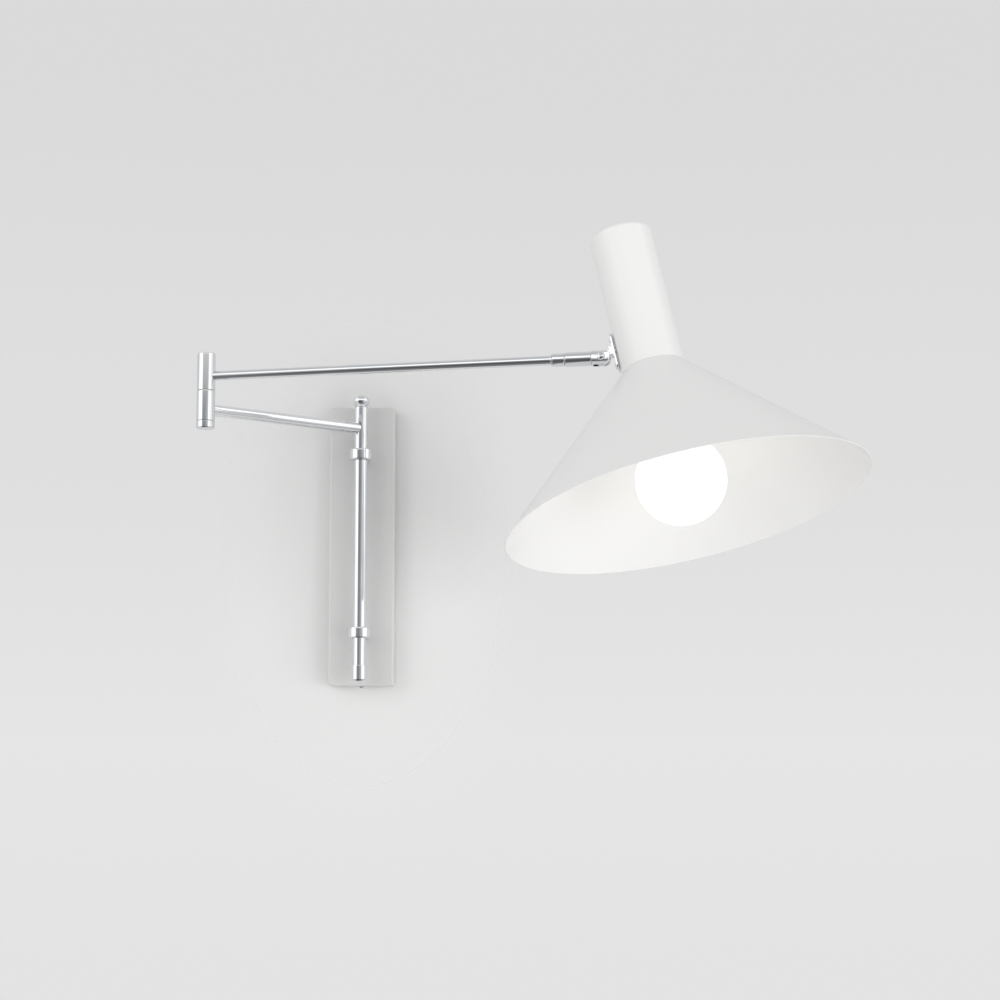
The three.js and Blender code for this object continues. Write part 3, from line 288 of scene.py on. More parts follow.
def carved(bm, cutters, operation="DIFFERENCE"):
    """The bmesh after each cutter is taken away from it, or kept in common with it."""
    body = scratch_object("blank", bm)
    tools = [scratch_object("cutter", cutter) for cutter in cutters]
    for tool in tools:
        step = body.modifiers.new("cut", "BOOLEAN")
        step.operation = operation
        step.solver = "EXACT"
        step.object = tool
    bpy.context.view_layer.update()
    shape = body.evaluated_get(bpy.context.evaluated_depsgraph_get())
    result = bmesh.new()
    result.from_mesh(shape.to_mesh())
    shape.to_mesh_clear()
    for obj in [body, *tools]:
        mesh = obj.data
        bpy.data.objects.remove(obj)
        bpy.data.meshes.remove(mesh)
    return result


def piece(name, bm, place, body, material, replaces=(), sharp=32):
    """Puts a finished shape in its place and makes it ride on its body."""
    placed(bm, place)
    for face in bm.faces:
        face.smooth = True
    for edge in bm.edges:
        edge.smooth = len(edge.link_faces) == 2 and edge.calc_face_angle() < math.radians(sharp)
    mesh = bpy.data.meshes.new(name)
    bm.to_mesh(mesh)
    bm.free()
    mesh.materials.append(MATERIALS[material])
    obj = bpy.data.objects.new(name, mesh)
    bpy.context.scene.collection.objects.link(obj)
    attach(obj, body)
    if replaces:
        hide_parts(*replaces)
    return obj


# ---- materials ----

def new_material(name):
    material = bpy.data.materials.new(name)
    material.use_nodes = True
    nodes = material.node_tree.nodes
    return material, nodes, material.node_tree.links, nodes["Principled BSDF"]


def add_noise(nodes, links, scale, detail=3.0, stretch=(1, 1, 1)):
    """Noise in object space; scale is features per metre."""
    coords = nodes.new("ShaderNodeTexCoord")
    mapping = nodes.new("ShaderNodeMapping")
    mapping.inputs["Scale"].default_value = stretch
    noise = nodes.new("ShaderNodeTexNoise")
    noise.inputs["Scale"].default_value = scale
    noise.inputs["Detail"].default_value = detail
    links.new(coords.outputs["Object"], mapping.inputs["Vector"])
    links.new(mapping.outputs["Vector"], noise.inputs["Vector"])
    return noise


def add_range(nodes, links, source, low, high, start=0.3, end=0.7):
    """Maps a grey value to a range."""
    step = nodes.new("ShaderNodeMapRange")
    step.inputs["From Min"].default_value = start
    step.inputs["From Max"].default_value = end
    step.inputs["To Min"].default_value = low
    step.inputs["To Max"].default_value = high
    links.new(source, step.inputs["Value"])
    return step.outputs["Result"]


def add_tint(nodes, links, source, dark, light):
    """Colour that drifts between two close tones."""
    ramp = nodes.new("ShaderNodeValToRGB")
    ramp.color_ramp.elements[0].position = 0.3
    ramp.color_ramp.elements[1].position = 0.7
    ramp.color_ramp.elements[0].color = (*dark, 1)
    ramp.color_ramp.elements[1].color = (*light, 1)
    links.new(source, ramp.inputs["Fac"])
    return ramp.outputs["Color"]


def add_bump(nodes, links, height, shader, strength, distance_mm):
    bump = nodes.new("ShaderNodeBump")
    bump.inputs["Strength"].default_value = strength
    bump.inputs["Distance"].default_value = distance_mm * MM
    links.new(height, bump.inputs["Height"])
    links.new(bump.outputs["Normal"], shader.inputs["Normal"])


def chrome():
    """Polished plate with faint buffing haze and fingermarks."""
    material, nodes, links, shader = new_material("chrome")
    haze = add_noise(nodes, links, 45, detail=4)
    links.new(add_range(nodes, links, haze.outputs["Fac"], 0.035, 0.09), shader.inputs["Roughness"])
    tone = add_tint(nodes, links, haze.outputs["Fac"], (0.80, 0.815, 0.84), (0.86, 0.87, 0.88))
    links.new(tone, shader.inputs["Base Color"])
    shader.inputs["Metallic"].default_value = 1
    ripple = add_noise(nodes, links, 120, detail=1)
    add_bump(nodes, links, ripple.outputs["Fac"], shader, 0.04, 0.02)
    return material


def lacquer(name, dark, light):
    """Sprayed finish on sheet metal: a drifting tone, and fine orange peel under a clear gloss."""
    material, nodes, links, shader = new_material(name)
    drift = add_noise(nodes, links, 7, detail=1)
    links.new(add_tint(nodes, links, drift.outputs["Fac"], dark, light), shader.inputs["Base Color"])
    cloud = add_noise(nodes, links, 25, detail=2)
    links.new(add_range(nodes, links, cloud.outputs["Fac"], 0.3, 0.38), shader.inputs["Roughness"])
    shader.inputs["Coat Weight"].default_value = 0.4
    shader.inputs["Coat Roughness"].default_value = 0.1
    peel = add_noise(nodes, links, 420, detail=1)
    add_bump(nodes, links, peel.outputs["Fac"], shader, 0.05, 0.01)
    return material


def zinc():
    """Bright zinc plate, slightly mottled."""
    material, nodes, links, shader = new_material("zinc")
    mottle = add_noise(nodes, links, 220, detail=4)
    tone = add_tint(nodes, links, mottle.outputs["Fac"], (0.47, 0.48, 0.50), (0.60, 0.61, 0.62))
    links.new(tone, shader.inputs["Base Color"])
    links.new(add_range(nodes, links, mottle.outputs["Fac"], 0.28, 0.48), shader.inputs["Roughness"])
    shader.inputs["Metallic"].default_value = 1
    grain = add_noise(nodes, links, 900, detail=2)
    add_bump(nodes, links, grain.outputs["Fac"], shader, 0.15, 0.03)
    return material


def brass():
    material, nodes, links, shader = new_material("brass")
    tarnish = add_noise(nodes, links, 180, detail=4)
    tone = add_tint(nodes, links, tarnish.outputs["Fac"], (0.60, 0.42, 0.17), (0.76, 0.58, 0.28))
    links.new(tone, shader.inputs["Base Color"])
    links.new(add_range(nodes, links, tarnish.outputs["Fac"], 0.2, 0.4), shader.inputs["Roughness"])
    shader.inputs["Metallic"].default_value = 1
    return material


def moulded(name, dark, light, rough_low, rough_high, grain_scale, grain):
    """Moulded or pressed pieces: a drifting tone, uneven gloss and a fine surface grain."""
    material, nodes, links, shader = new_material(name)
    drift = add_noise(nodes, links, 80, detail=3)
    links.new(add_tint(nodes, links, drift.outputs["Fac"], dark, light), shader.inputs["Base Color"])
    gloss = add_range(nodes, links, drift.outputs["Fac"], rough_low, rough_high)
    links.new(gloss, shader.inputs["Roughness"])
    fine = add_noise(nodes, links, grain_scale, detail=2)
    add_bump(nodes, links, fine.outputs["Fac"], shader, grain, 0.04)
    return material


def opal_glass():
    """Opal glass lit from inside: an almost even, slightly warm glow under a glossy skin."""
    material, nodes, links, shader = new_material("opal_glass")
    shader.inputs["Base Color"].default_value = (0.95, 0.93, 0.88, 1)
    shader.inputs["Roughness"].default_value = 0.12
    shader.inputs["Coat Weight"].default_value = 0.5
    shader.inputs["Coat Roughness"].default_value = 0.05
    cloud = add_noise(nodes, links, 30, detail=2)
    glow = add_tint(nodes, links, cloud.outputs["Fac"], (1.0, 0.955, 0.90), (1.0, 0.97, 0.92))
    links.new(glow, shader.inputs["Emission Color"])
    shader.inputs["Emission Strength"].default_value = BULB_GLOW
    return material


BULB_GLOW = 1.3

MATERIALS = {
    "chrome": chrome(),
    "white_lacquer": lacquer("white_lacquer", (0.66, 0.66, 0.655), (0.685, 0.685, 0.68)),
    "shade_lacquer": lacquer("shade_lacquer", (0.90, 0.90, 0.895), (0.92, 0.92, 0.915)),
    "zinc": zinc(),
    "brass": brass(),
    "nylon": moulded("nylon", (0.74, 0.73, 0.68), (0.82, 0.81, 0.77), 0.4, 0.55, 600, 0.1),
    "bakelite": moulded("bakelite", (0.018, 0.018, 0.019), (0.035, 0.034, 0.034), 0.22, 0.4, 500, 0.08),
    "ceramic": moulded("ceramic", (0.78, 0.76, 0.70), (0.86, 0.84, 0.79), 0.35, 0.6, 900, 0.2),
    "rubber": moulded("rubber", (0.02, 0.02, 0.02), (0.04, 0.04, 0.04), 0.65, 0.85, 800, 0.25),
    "opal_glass": opal_glass(),
    "lead_brown": moulded("lead_brown", (0.10, 0.045, 0.02), (0.15, 0.07, 0.035), 0.35, 0.5, 700, 0.1),
    "lead_blue": moulded("lead_blue", (0.03, 0.09, 0.30), (0.05, 0.13, 0.40), 0.35, 0.5, 700, 0.1),
}


def finish_cad_nodes():
    """Gives each carried-over solid the finish of its slot."""
    for entry in frame["record"]["subparts"]:
        for slot in frame["nodes"][entry["node"]].material_slots:
            slot.material = MATERIALS[entry["material_slot"]]


# ---- fasteners ----

def slotted_dome(radius, height, shank_r, shank_length, slot=0.9):
    """Dome-headed screw about Z: its head's flat at z = 0, the dome below and the shank above."""
    head = arc_points(0, radius, height, -90, -6, 12)
    rim = outline([(radius, -0.1 * height), (radius, 0, 0.15), (shank_r, 0)])[1:]
    shank = outline([(shank_r, 0), (shank_r, shank_length, 0.3), (0, shank_length)])[1:]
    bm = spun(head + rim + shank, steps=48)
    reach = radius * 1.2
    groove = rounded_block((-reach, -slot / 2, -height - 2), (reach, slot / 2, -height + 0.9), 0.05, 1)
    return carved(bm, [groove])


# ---- wall plate ----

def plate_cover():
    """Folded and rounded white box, open at the wall."""
    low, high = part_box("canopy")
    bm = bmesh.new()
    bmesh.ops.create_cube(bm, size=1)
    bmesh.ops.scale(bm, vec=[b - a for a, b in zip(low, high)], verts=bm.verts)
    bmesh.ops.translate(bm, vec=[(a + b) / 2 for a, b in zip(low, high)], verts=bm.verts)
    back = [face for face in bm.faces if face.normal.y > 0.9]
    bmesh.ops.delete(bm, geom=back, context="FACES_ONLY")
    corners = [edge for edge in bm.edges if abs(edge.verts[0].co.y - edge.verts[1].co.y) > 1e-4]
    round_edges(bm, corners, PLATE_CORNER, 6)
    front = max((face for face in bm.faces if face.normal.y < -0.9), key=lambda face: face.calc_area())
    round_edges(bm, front.edges[:], PLATE_EDGE, 6)
    hold_flats(bm)
    cover = piece("plate_cover", bm, WALL, "wall_mount", "white_lacquer", ["canopy"])
    shell = cover.modifiers.new("sheet", "SOLIDIFY")
    shell.thickness = PLATE_WALL * MM
    shell.offset = -1
    return cover


def collars():
    """The two rings that hold the rod, each on a stem with a flange against the plate."""
    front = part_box("canopy")[0].y / MM
    rod_y = rod_at.y / MM
    for label, z in (("upper", COLLAR_Z), ("lower", -COLLAR_Z)):
        half = COLLAR_HEIGHT / 2
        hoop = spun(outline([
            (COLLAR_BORE, -half, 0.4), (COLLAR_R, -half, 1.3),
            (COLLAR_R, half, 1.3), (COLLAR_BORE, half, 0.4),
        ]), closed=True)
        placed(hoop, moved(y=rod_y))
        stem_start = rod_y + COLLAR_R - 1.2
        stem = spun(outline([
            (0, stem_start), (STEM_R + 1, stem_start),
            (STEM_R + 1, front - 2.3, 0.8), (STEM_FLANGE_R, front - 2.3, 0.5),
            (STEM_FLANGE_R, front - 0.1), (STEM_R, front - 0.1), (STEM_R, front + 12, 0.4), (0, front + 12),
        ]), steps=72)
        placed(stem, ALONG_Y)
        piece(
            f"{label}_collar_ring", placed(joined(hoop, stem), moved(z=z)), WALL, "wall_mount", "chrome",
            [f"{label}_collar"],
        )
        bush = ring(COLLAR_BORE - 0.2, ROD_R + 0.05, -half + 0.5, half - 0.5, 0.2)
        piece(f"{label}_collar_bush", bush, moved(y=rod_y, z=z), "wall_mount", "nylon", [f"{label}_bush"])


def socket_screw():
    """Grub screw in the lower collar, seen from the front as a dark hexagon in a small disc."""
    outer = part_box("collar_set_screw")[0].y / MM
    body = spun(outline([(0, 0), (2, 0, 0.3), (2, 3.2), (1.2, 3.4), (1.2, 4.2), (0, 4.2)]), steps=48)
    socket = bmesh.new()
    bmesh.ops.create_cone(
        socket, cap_ends=True, segments=6, radius1=1.15 * MM, radius2=1.15 * MM, depth=3 * MM,
    )
    screw = placed(carved(body, [socket]), ALONG_Y)
    piece("collar_grub_screw", screw, moved(y=outer, z=-COLLAR_Z), "wall_mount", "zinc", ["collar_set_screw"])


def plate_screws():
    for label, z_side in (("bottom", -1), ("top", 1)):
        low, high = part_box(f"canopy_screw_{label}")
        height = (low.z if z_side < 0 else high.z) / MM
        screw = slotted_dome(3.2, 2.2, 1.6, 8)
        if z_side > 0:
            placed(screw, Matrix.Rotation(math.pi, 4, "X"))
        place = moved(x=0, y=(low.y + high.y) / 2 / MM, z=height - z_side * 2.2)
        piece(f"plate_screw_{label}", screw, place, "wall_mount", "chrome", [f"canopy_screw_{label}"])


# ---- rod, short arm and elbow ----

def rod():
    tube = ring(ROD_R, ROD_BORE, ROD_BOTTOM, ROD_TOP, 0.3)
    piece("rod", tube, ROD, "rod", "chrome", ["rod_tube"])


def rod_ball():
    """Flattened ball on a thin seat at the rod's top."""
    base = ROD_TOP + 0.3
    seat = base + 1.1
    half = (FINIAL_TOP - seat) / 2 + 0.6
    middle = FINIAL_TOP - half
    ball = arc_points(middle, FINIAL_R, half, -52, 90, 26)
    spigot_r = ROD_BORE - 0.3
    seat_r = ROD_R - 0.1
    spigot = outline([
        (0, base - 8), (spigot_r, base - 8, 0.4), (spigot_r, base), (seat_r, base, 0.25), (seat_r, seat, 0.2),
    ])
    piece("rod_ball", spun(spigot + ball), ROD, "rod", "chrome", ["rod_finial"])


def rod_cap():
    """Cup over the rod's lower end with a rounded foot."""
    cap = spun(outline([
        (0, END_CAP_BOTTOM), (END_CAP_R, END_CAP_BOTTOM, 2.6), (END_CAP_R, END_CAP_TOP, 0.5),
        (ROD_R + 0.05, END_CAP_TOP, 0.15), (ROD_R + 0.05, ROD_BOTTOM - 0.3), (0, ROD_BOTTOM - 0.3),
    ]))
    piece("rod_cap", cap, ROD, "rod", "chrome", ["rod_end_cap"])


def short_arm():
    """Tube brazed into the rod and the elbow's lower barrel, with a fine fillet at each end."""
    tube = placed(ring(SHORT_ARM_R, SHORT_ARM_R - 1, 3.6, SHORT_ARM_LENGTH - 5.5, 0.1), ALONG_X)
    piece("short_arm", tube, ROD @ moved(z=SHORT_ARM_Z), "rod", "chrome", ["short_arm_tube"])


def elbow():
    """Two barrels that turn on each other, a plug below and a disc let into the top."""
    lower_top = ELBOW_SPLIT - 0.35
    upper_bottom = ELBOW_SPLIT + 0.35
    lower = ring(ELBOW_R, 4.15, ELBOW_PLUG_TOP + 0.15, lower_top, 0.35)
    piece("elbow_lower", lower, LOWER_ELBOW, "rod", "chrome", ["elbow_lower_barrel"])
    groove = ELBOW_PLUG_TOP - 0.05
    plug = spun(outline([
        (0, ELBOW_BOTTOM), (ELBOW_R, ELBOW_BOTTOM, 1.4), (ELBOW_R, groove, 0.35), (3.8, groove),
        (3.8, ELBOW_PLUG_TOP + 3), (0, ELBOW_PLUG_TOP + 3),
    ]))
    piece("elbow_plug", plug, LOWER_ELBOW, "rod", "chrome", ["elbow_bottom_plug"])
    bearing = ring(ELBOW_R - 0.6, 4.3, lower_top + 0.05, upper_bottom - 0.05, 0.1)
    piece("elbow_bearing", bearing, LOWER_ELBOW, "rod", "nylon", ["elbow_washer"])
    rim = TOP_PLUG_R + 0.1
    upper = spun(outline([
        (4.1, upper_bottom), (ELBOW_R, upper_bottom, 0.35), (ELBOW_R, ELBOW_TOP, 1.3), (rim, ELBOW_TOP, 0.2),
        (rim, ELBOW_TOP - 3.8), (4.1, ELBOW_TOP - 3.8),
    ]), closed=True)
    piece("elbow_upper", upper, ELBOW, "long_arm", "chrome", ["elbow_upper_barrel"])
    disc = spun(outline([
        (0, ELBOW_TOP - 3.5), (TOP_PLUG_R, ELBOW_TOP - 3.5), (TOP_PLUG_R, ELBOW_TOP - 0.3, 0.3),
        (0, ELBOW_TOP - 0.3),
    ]))
    piece("elbow_disc", disc, ELBOW, "long_arm", "chrome", ["elbow_top_plug"])


# ---- long arm and swivel ----

def long_arm():
    along = ELBOW @ moved(z=LONG_ARM_Z)
    tube = placed(ring(LONG_ARM_R, LONG_ARM_R - 1, 5.5, FERRULE_START + 7, 0.1), ALONG_X)
    piece("long_arm_tube_fine", tube, along, "long_arm", "chrome", ["long_arm_tube"])
    hoop = placed(ring(RING_R, LONG_ARM_R, RING_START, RING_END, 0.45), ALONG_X)
    piece("arm_ring", hoop, along, "long_arm", "chrome", ["arm_end_ring"])
    ferrule = placed(spun(outline([
        (LONG_ARM_R + 0.02, FERRULE_START), (FERRULE_R, FERRULE_START, 0.5), (FERRULE_R, FERRULE_END, 0.7),
        (3.1, FERRULE_END), (3.1, FERRULE_START + 7.3), (LONG_ARM_R + 0.02, FERRULE_START + 7.3),
    ]), closed=True), ALONG_X)
    piece("ferrule", ferrule, along, "long_arm", "chrome", ["arm_end_ferrule"])


def sleeve():
    turned_sleeve = spun(outline([
        (3.1, SLEEVE_START), (SLEEVE_R, SLEEVE_START, 0.7), (SLEEVE_R, SLEEVE_END, 0.35),
        (4.5, SLEEVE_END), (4.5, SLEEVE_END - 6), (3.1, SLEEVE_END - 6),
    ]), closed=True)
    piece("swivel_barrel", placed(turned_sleeve, ALONG_X), WRIST, "wrist", "chrome", ["swivel_sleeve"])


def knuckle():
    """Round-ended fork on the wrist, slotted for the head's tongue."""
    pin_x = (WRIST.inverted() @ tilt_at).x / MM
    blank = placed(spun(outline([
        (0, SLEEVE_END - 2), (4.2, SLEEVE_END - 2), (4.2, SLEEVE_END + 0.15),
        (FORK_R, SLEEVE_END + 0.15, 0.5), (FORK_R, pin_x + 8), (0, pin_x + 8),
    ])), ALONG_X)
    eye = spun(outline([(0, -12), (FORK_EYE_R, -12), (FORK_EYE_R, 12), (0, 12)]))
    placed(eye, moved(x=pin_x) @ ALONG_Y)
    shank = rounded_block((SLEEVE_END - 4, -11.5, -11.5), (pin_x, 11.5, 11.5), 0.01, 1)
    tip = carved(eye, [shank], "UNION")
    fork = carved(blank, [tip], "INTERSECT")
    slot_start = pin_x - TONGUE_EYE_R - 0.5
    end = pin_x + 20
    fork = carved(fork, [
        rounded_block((slot_start, -FORK_SLOT / 2, -20), (end, FORK_SLOT / 2, 20), 0.02, 1),
        rounded_block((slot_start - 1, FORK_FLAT, -20), (end, 30, 20), 0.02, 1),
        rounded_block((slot_start - 1, -30, -20), (end, -FORK_FLAT, 20), 0.02, 1),
    ])
    piece("knuckle_yoke", fork, WRIST, "wrist", "chrome", ["knuckle_fork"])
    pin = slotted_dome(3.4, 1.9, 2, 2 * FORK_FLAT + 2)
    pin_place = WRIST @ moved(x=pin_x, y=-FORK_FLAT - 0.2) @ ALONG_Y
    piece("tilt_bolt", pin, pin_place, "wrist", "chrome", ["tilt_screw"])
    nut_side = outline([(0, 0.2), (3.2, 0.2, 0.2), (3.2, 2, 0.3)])[:-1]
    dome = spun(nut_side + arc_points(2, 3.2, 1.8, 0, 90, 10), steps=48)
    nut_place = WRIST @ moved(x=pin_x, y=FORK_FLAT) @ ALONG_Y
    piece("tilt_dome_nut", dome, nut_place, "wrist", "chrome", ["tilt_nut"])


# ---- head ----

def tongue():
    """Eye between the fork's cheeks, carried on a block with a foot against the mount plate."""
    thick = 1.6
    foot = PLATE_FRONT - 0.1
    eye = spun(outline([
        (2.1, -thick, 0.1), (TONGUE_EYE_R, -thick, 0.3), (TONGUE_EYE_R, thick, 0.3), (2.1, thick, 0.1),
    ]), closed=True, steps=64)
    placed(eye, ALONG_Y)
    web = rounded_block((3, -thick + 0.02, -1.5), (foot - 1, thick - 0.02, 5), 0.2, 2)
    stub = rounded_block((FORK_EYE_R + 0.4, -4.5, -1.5), (foot, 4.5, 7.5), 0.9, 4)
    base = rounded_block((foot - 1, -5.7, -2.7), (foot, 5.7, 8.7), 0.4, 3)
    stud_end = foot + 7.5
    stud = spun(outline([(0, foot), (2.4, foot), (2.4, stud_end, 0.4), (0, stud_end)]), steps=32)
    placed(stud, moved(z=STUD_HEIGHT) @ ALONG_X)
    piece("knuckle_eye", joined(eye, web, stub, base, stud), HEAD, "head", "chrome", ["knuckle_tongue"])


def mount_strap():
    """Flat plate with round ends that carries the neck, and its two screws."""
    bm = bmesh.new()
    low = (PLATE_FRONT, -8, MOUNT_PLATE_LOW - SEAM_DROP)
    high = (PLATE_BACK, 8, MOUNT_PLATE_HIGH - SEAM_DROP)
    bmesh.ops.create_cube(bm, size=1)
    bmesh.ops.scale(bm, vec=[(b - a) * MM for a, b in zip(low, high)], verts=bm.verts)
    bmesh.ops.translate(bm, vec=[(a + b) / 2 * MM for a, b in zip(low, high)], verts=bm.verts)
    corners = [edge for edge in bm.edges if abs(edge.verts[0].co.x - edge.verts[1].co.x) > 1e-4]
    round_edges(bm, corners, 4, 8)
    rims = [edge for edge in bm.edges if edge.calc_face_angle() > 1]
    round_edges(bm, rims, 0.35, 3)
    hold_flats(bm)
    piece("mount_strap", bm, HEAD, "head", "chrome", ["mount_plate"])
    screw_heights = {
        "lower": MOUNT_PLATE_LOW + MOUNT_SCREW_INSET,
        "upper": MOUNT_PLATE_HIGH - MOUNT_SCREW_INSET,
    }
    for label, z in screw_heights.items():
        screw = placed(slotted_dome(2.8, 1.8, 1.5, 5, 0.7), ALONG_X)
        place = HEAD @ moved(x=PLATE_FRONT - 0.05, z=z - SEAM_DROP)
        piece(f"strap_screw_{label}", screw, place, "head", "chrome", [f"mount_screw_{label}"])


def neck():
    """Deep-drawn white cup, closed at the top with a soft round."""
    inner = NECK_R - NECK_WALL
    top = NECK_HEIGHT - NECK_WALL
    cup = spun(outline([
        (inner, 0.1), (NECK_R, 0.1, 0.45), (NECK_R, NECK_HEIGHT, NECK_FILLET), (2.7, NECK_HEIGHT),
        (2.7, top), (inner, top, NECK_FILLET - NECK_WALL),
    ], degrees=8), closed=True, steps=160)
    piece("neck_cup", cup, NECK, "head", "shade_lacquer", ["neck_housing"])


def cone():
    """Spun cone: a collar inside the neck, a straight flare and a rim with rounded edges."""
    run = CONE_R - NECK_R
    sideways = CONE_WALL * math.hypot(run, CONE_HEIGHT) / CONE_HEIGHT
    collar = NECK_R - NECK_WALL - 0.2
    shell = spun(outline([
        (CONE_R - sideways, -CONE_HEIGHT, 0.3), (CONE_R, -CONE_HEIGHT, 0.3), (NECK_R, 0, 0.5),
        (collar, 0), (collar, 6), (20.5, 6), (20.5, 4.8), (collar - 1, 4.8), (collar - 1, -0.8),
        (NECK_R + 0.4, -1.8),
    ], degrees=15), closed=True, steps=256)
    piece("shade", shell, NECK, "head", "shade_lacquer", ["shade_cone"])


def shade_nut():
    """Dome nut on the neck's top."""
    base = NECK_HEIGHT + 0.05
    nut = outline([(2.7, base), (4.4, base, 0.4), (4.4, base + 2.6)])[:-1]
    nut.extend(arc_points(base + 2.6, 4.4, 4.2, 0, 90, 14))
    nut.extend(Vector(point) for point in ((0, base + 4.6), (2.7, base + 4.4), (2.7, base)))
    piece("shade_dome_nut", spun(nut, steps=64), NECK, "head", "chrome", ["shade_finial"])


def bulb():
    """Opal globe with a drawn-in neck, open inside its metal cap."""
    def skin(inset):
        ball = BULB_R - inset
        line = arc_points(BULB_CENTRE, ball, ball, -90, 54, 36)
        start = line[-1]
        neck_r = BULB_NECK_R - inset
        neck_z = BULB_CAP_BOTTOM - 4
        slope = Vector((-math.sin(math.radians(54)), math.cos(math.radians(54))))
        bend = start + slope * (start.x - neck_r) / math.sin(math.radians(54))
        for step in range(1, 13):
            t = step / 12
            line.append(start * (1 - t) ** 2 + bend * 2 * t * (1 - t) + Vector((neck_r, neck_z)) * t ** 2)
        line.append(Vector((neck_r, BULB_CAP_BOTTOM + 6)))
        return line
    globe = spun(skin(0) + skin(0.8)[::-1], steps=96)
    piece("opal_globe", globe, NECK, "head", "opal_glass", ["bulb_globe"])


def holder():
    """Black lampholder skirt and the ring that clamps the shade."""
    skirt = spun(outline([
        (17.6, -48, 0.3), (19.6, -48, 0.8), (19.6, 6.3), (21.5, 6.3, 0.4),
        (21.5, 8.3, 0.4), (19.6, 8.3), (19.6, 12), (17.6, 12),
    ]), closed=True)
    piece("holder_skirt", skirt, NECK, "head", "bakelite", ["lampholder_body"])
    clamp = ring(22.6, 19.9, 1.5, 4.5, 0.4)
    piece("holder_ring", clamp, NECK, "head", "bakelite", ["shade_ring"])


# ---- studio ----

def studio_surface(name, size, place, tone):
    material, nodes, links, shader = new_material(name)
    mottle = add_noise(nodes, links, 1.2, detail=2)
    shade = add_tint(nodes, links, mottle.outputs["Fac"], tone, [value + 0.01 for value in tone])
    links.new(shade, shader.inputs["Base Color"])
    shader.inputs["Roughness"].default_value = 0.9
    bm = bmesh.new()
    bmesh.ops.create_grid(bm, x_segments=1, y_segments=1, size=size)
    placed(bm, place)
    surface = scratch_object(name, bm)
    surface.data.materials.append(material)
    return surface, nodes, links, shader


def backdrop():
    """White wall round the plate, which takes its shadow and fades into the plain background further out.

    It is clear from behind. From the front, its middle hides arms that have swung past the wall's
    plane, and its edge hides them less and less.
    """
    place = Matrix.Translation((0, WALL_GAP, 0)) @ Matrix.Rotation(math.pi / 2, 4, "X")
    wall, nodes, links, shader = studio_surface("wall", PATCH_HALF_SIZE, place, (0.79, 0.79, 0.79))
    coords = nodes.new("ShaderNodeTexCoord")
    centred = nodes.new("ShaderNodeMapping")
    centred.inputs["Scale"].default_value = (1 / PATCH_REACH_X, 0, 1 / PATCH_REACH_Z)
    links.new(coords.outputs["Object"], centred.inputs["Vector"])
    falloff = nodes.new("ShaderNodeTexGradient")
    falloff.gradient_type = "SPHERICAL"
    links.new(centred.outputs["Vector"], falloff.inputs["Vector"])
    fade = nodes.new("ShaderNodeMapRange")
    fade.interpolation_type = "SMOOTHSTEP"
    fade.inputs["From Max"].default_value = PATCH_SOFTNESS
    links.new(falloff.outputs["Fac"], fade.inputs["Value"])
    side = nodes.new("ShaderNodeNewGeometry")
    front = nodes.new("ShaderNodeMath")
    front.operation = "SUBTRACT"
    front.use_clamp = True
    links.new(fade.outputs["Result"], front.inputs[0])
    links.new(side.outputs["Backfacing"], front.inputs[1])
    clear = nodes.new("ShaderNodeBsdfTransparent")
    mix = nodes.new("ShaderNodeMixShader")
    links.new(front.outputs["Value"], mix.inputs["Fac"])
    links.new(clear.outputs["BSDF"], mix.inputs[1])
    links.new(shader.outputs["BSDF"], mix.inputs[2])
    links.new(mix.outputs["Shader"], nodes["Material Output"].inputs["Surface"])
    wall.visible_shadow = False


def floor():
    place = Matrix.Translation((0, 0, FLOOR_Z))
    ground = studio_surface("floor", FLOOR_HALF_SIZE, place, (0.76, 0.755, 0.745))[0]
    ground.visible_glossy = False


def softbox(name, place, target, width, height, power):
    """Soft light that the polished pieces don't mirror: what they mirror is the surround."""
    light = bpy.data.lights.new(name, "AREA")
    light.shape = "RECTANGLE"
    light.size = width
    light.size_y = height
    light.energy = power
    lamp = bpy.data.objects.new(name, light)
    lamp.location = place
    lamp.rotation_euler = (Vector(target) - Vector(place)).to_track_quat("-Z", "Y").to_euler()
    lamp.visible_glossy = False
    bpy.context.scene.collection.objects.link(lamp)


def grey_ramp(nodes, links, source, stops):
    """Surround brightness along one direction, from (-1 to 1, brightness, blueness) stops."""
    spread = nodes.new("ShaderNodeMapRange")
    spread.inputs["From Min"].default_value = -1
    spread.inputs["From Max"].default_value = 1
    links.new(source, spread.inputs["Value"])
    ramp = nodes.new("ShaderNodeValToRGB")
    links.new(spread.outputs["Result"], ramp.inputs["Fac"])
    elements = ramp.color_ramp.elements
    while len(elements) < len(stops):
        elements.new(0.5)
    for element, (place, value, blue) in zip(elements, stops):
        element.position = (place + 1) / 2
        element.color = (value, value * (1 + blue / 2), value * (1 + blue), 1)
    return ramp.outputs["Color"]


def add_step(nodes, links, target):
    """Feeds target 0 for what lies ahead and 1 for what lies behind, from the input it returns."""
    step = nodes.new("ShaderNodeMapRange")
    step.inputs["From Min"].default_value = -STEP_SOFTNESS
    step.inputs["From Max"].default_value = STEP_SOFTNESS
    links.new(step.outputs["Result"], target)
    return step.inputs["Value"]


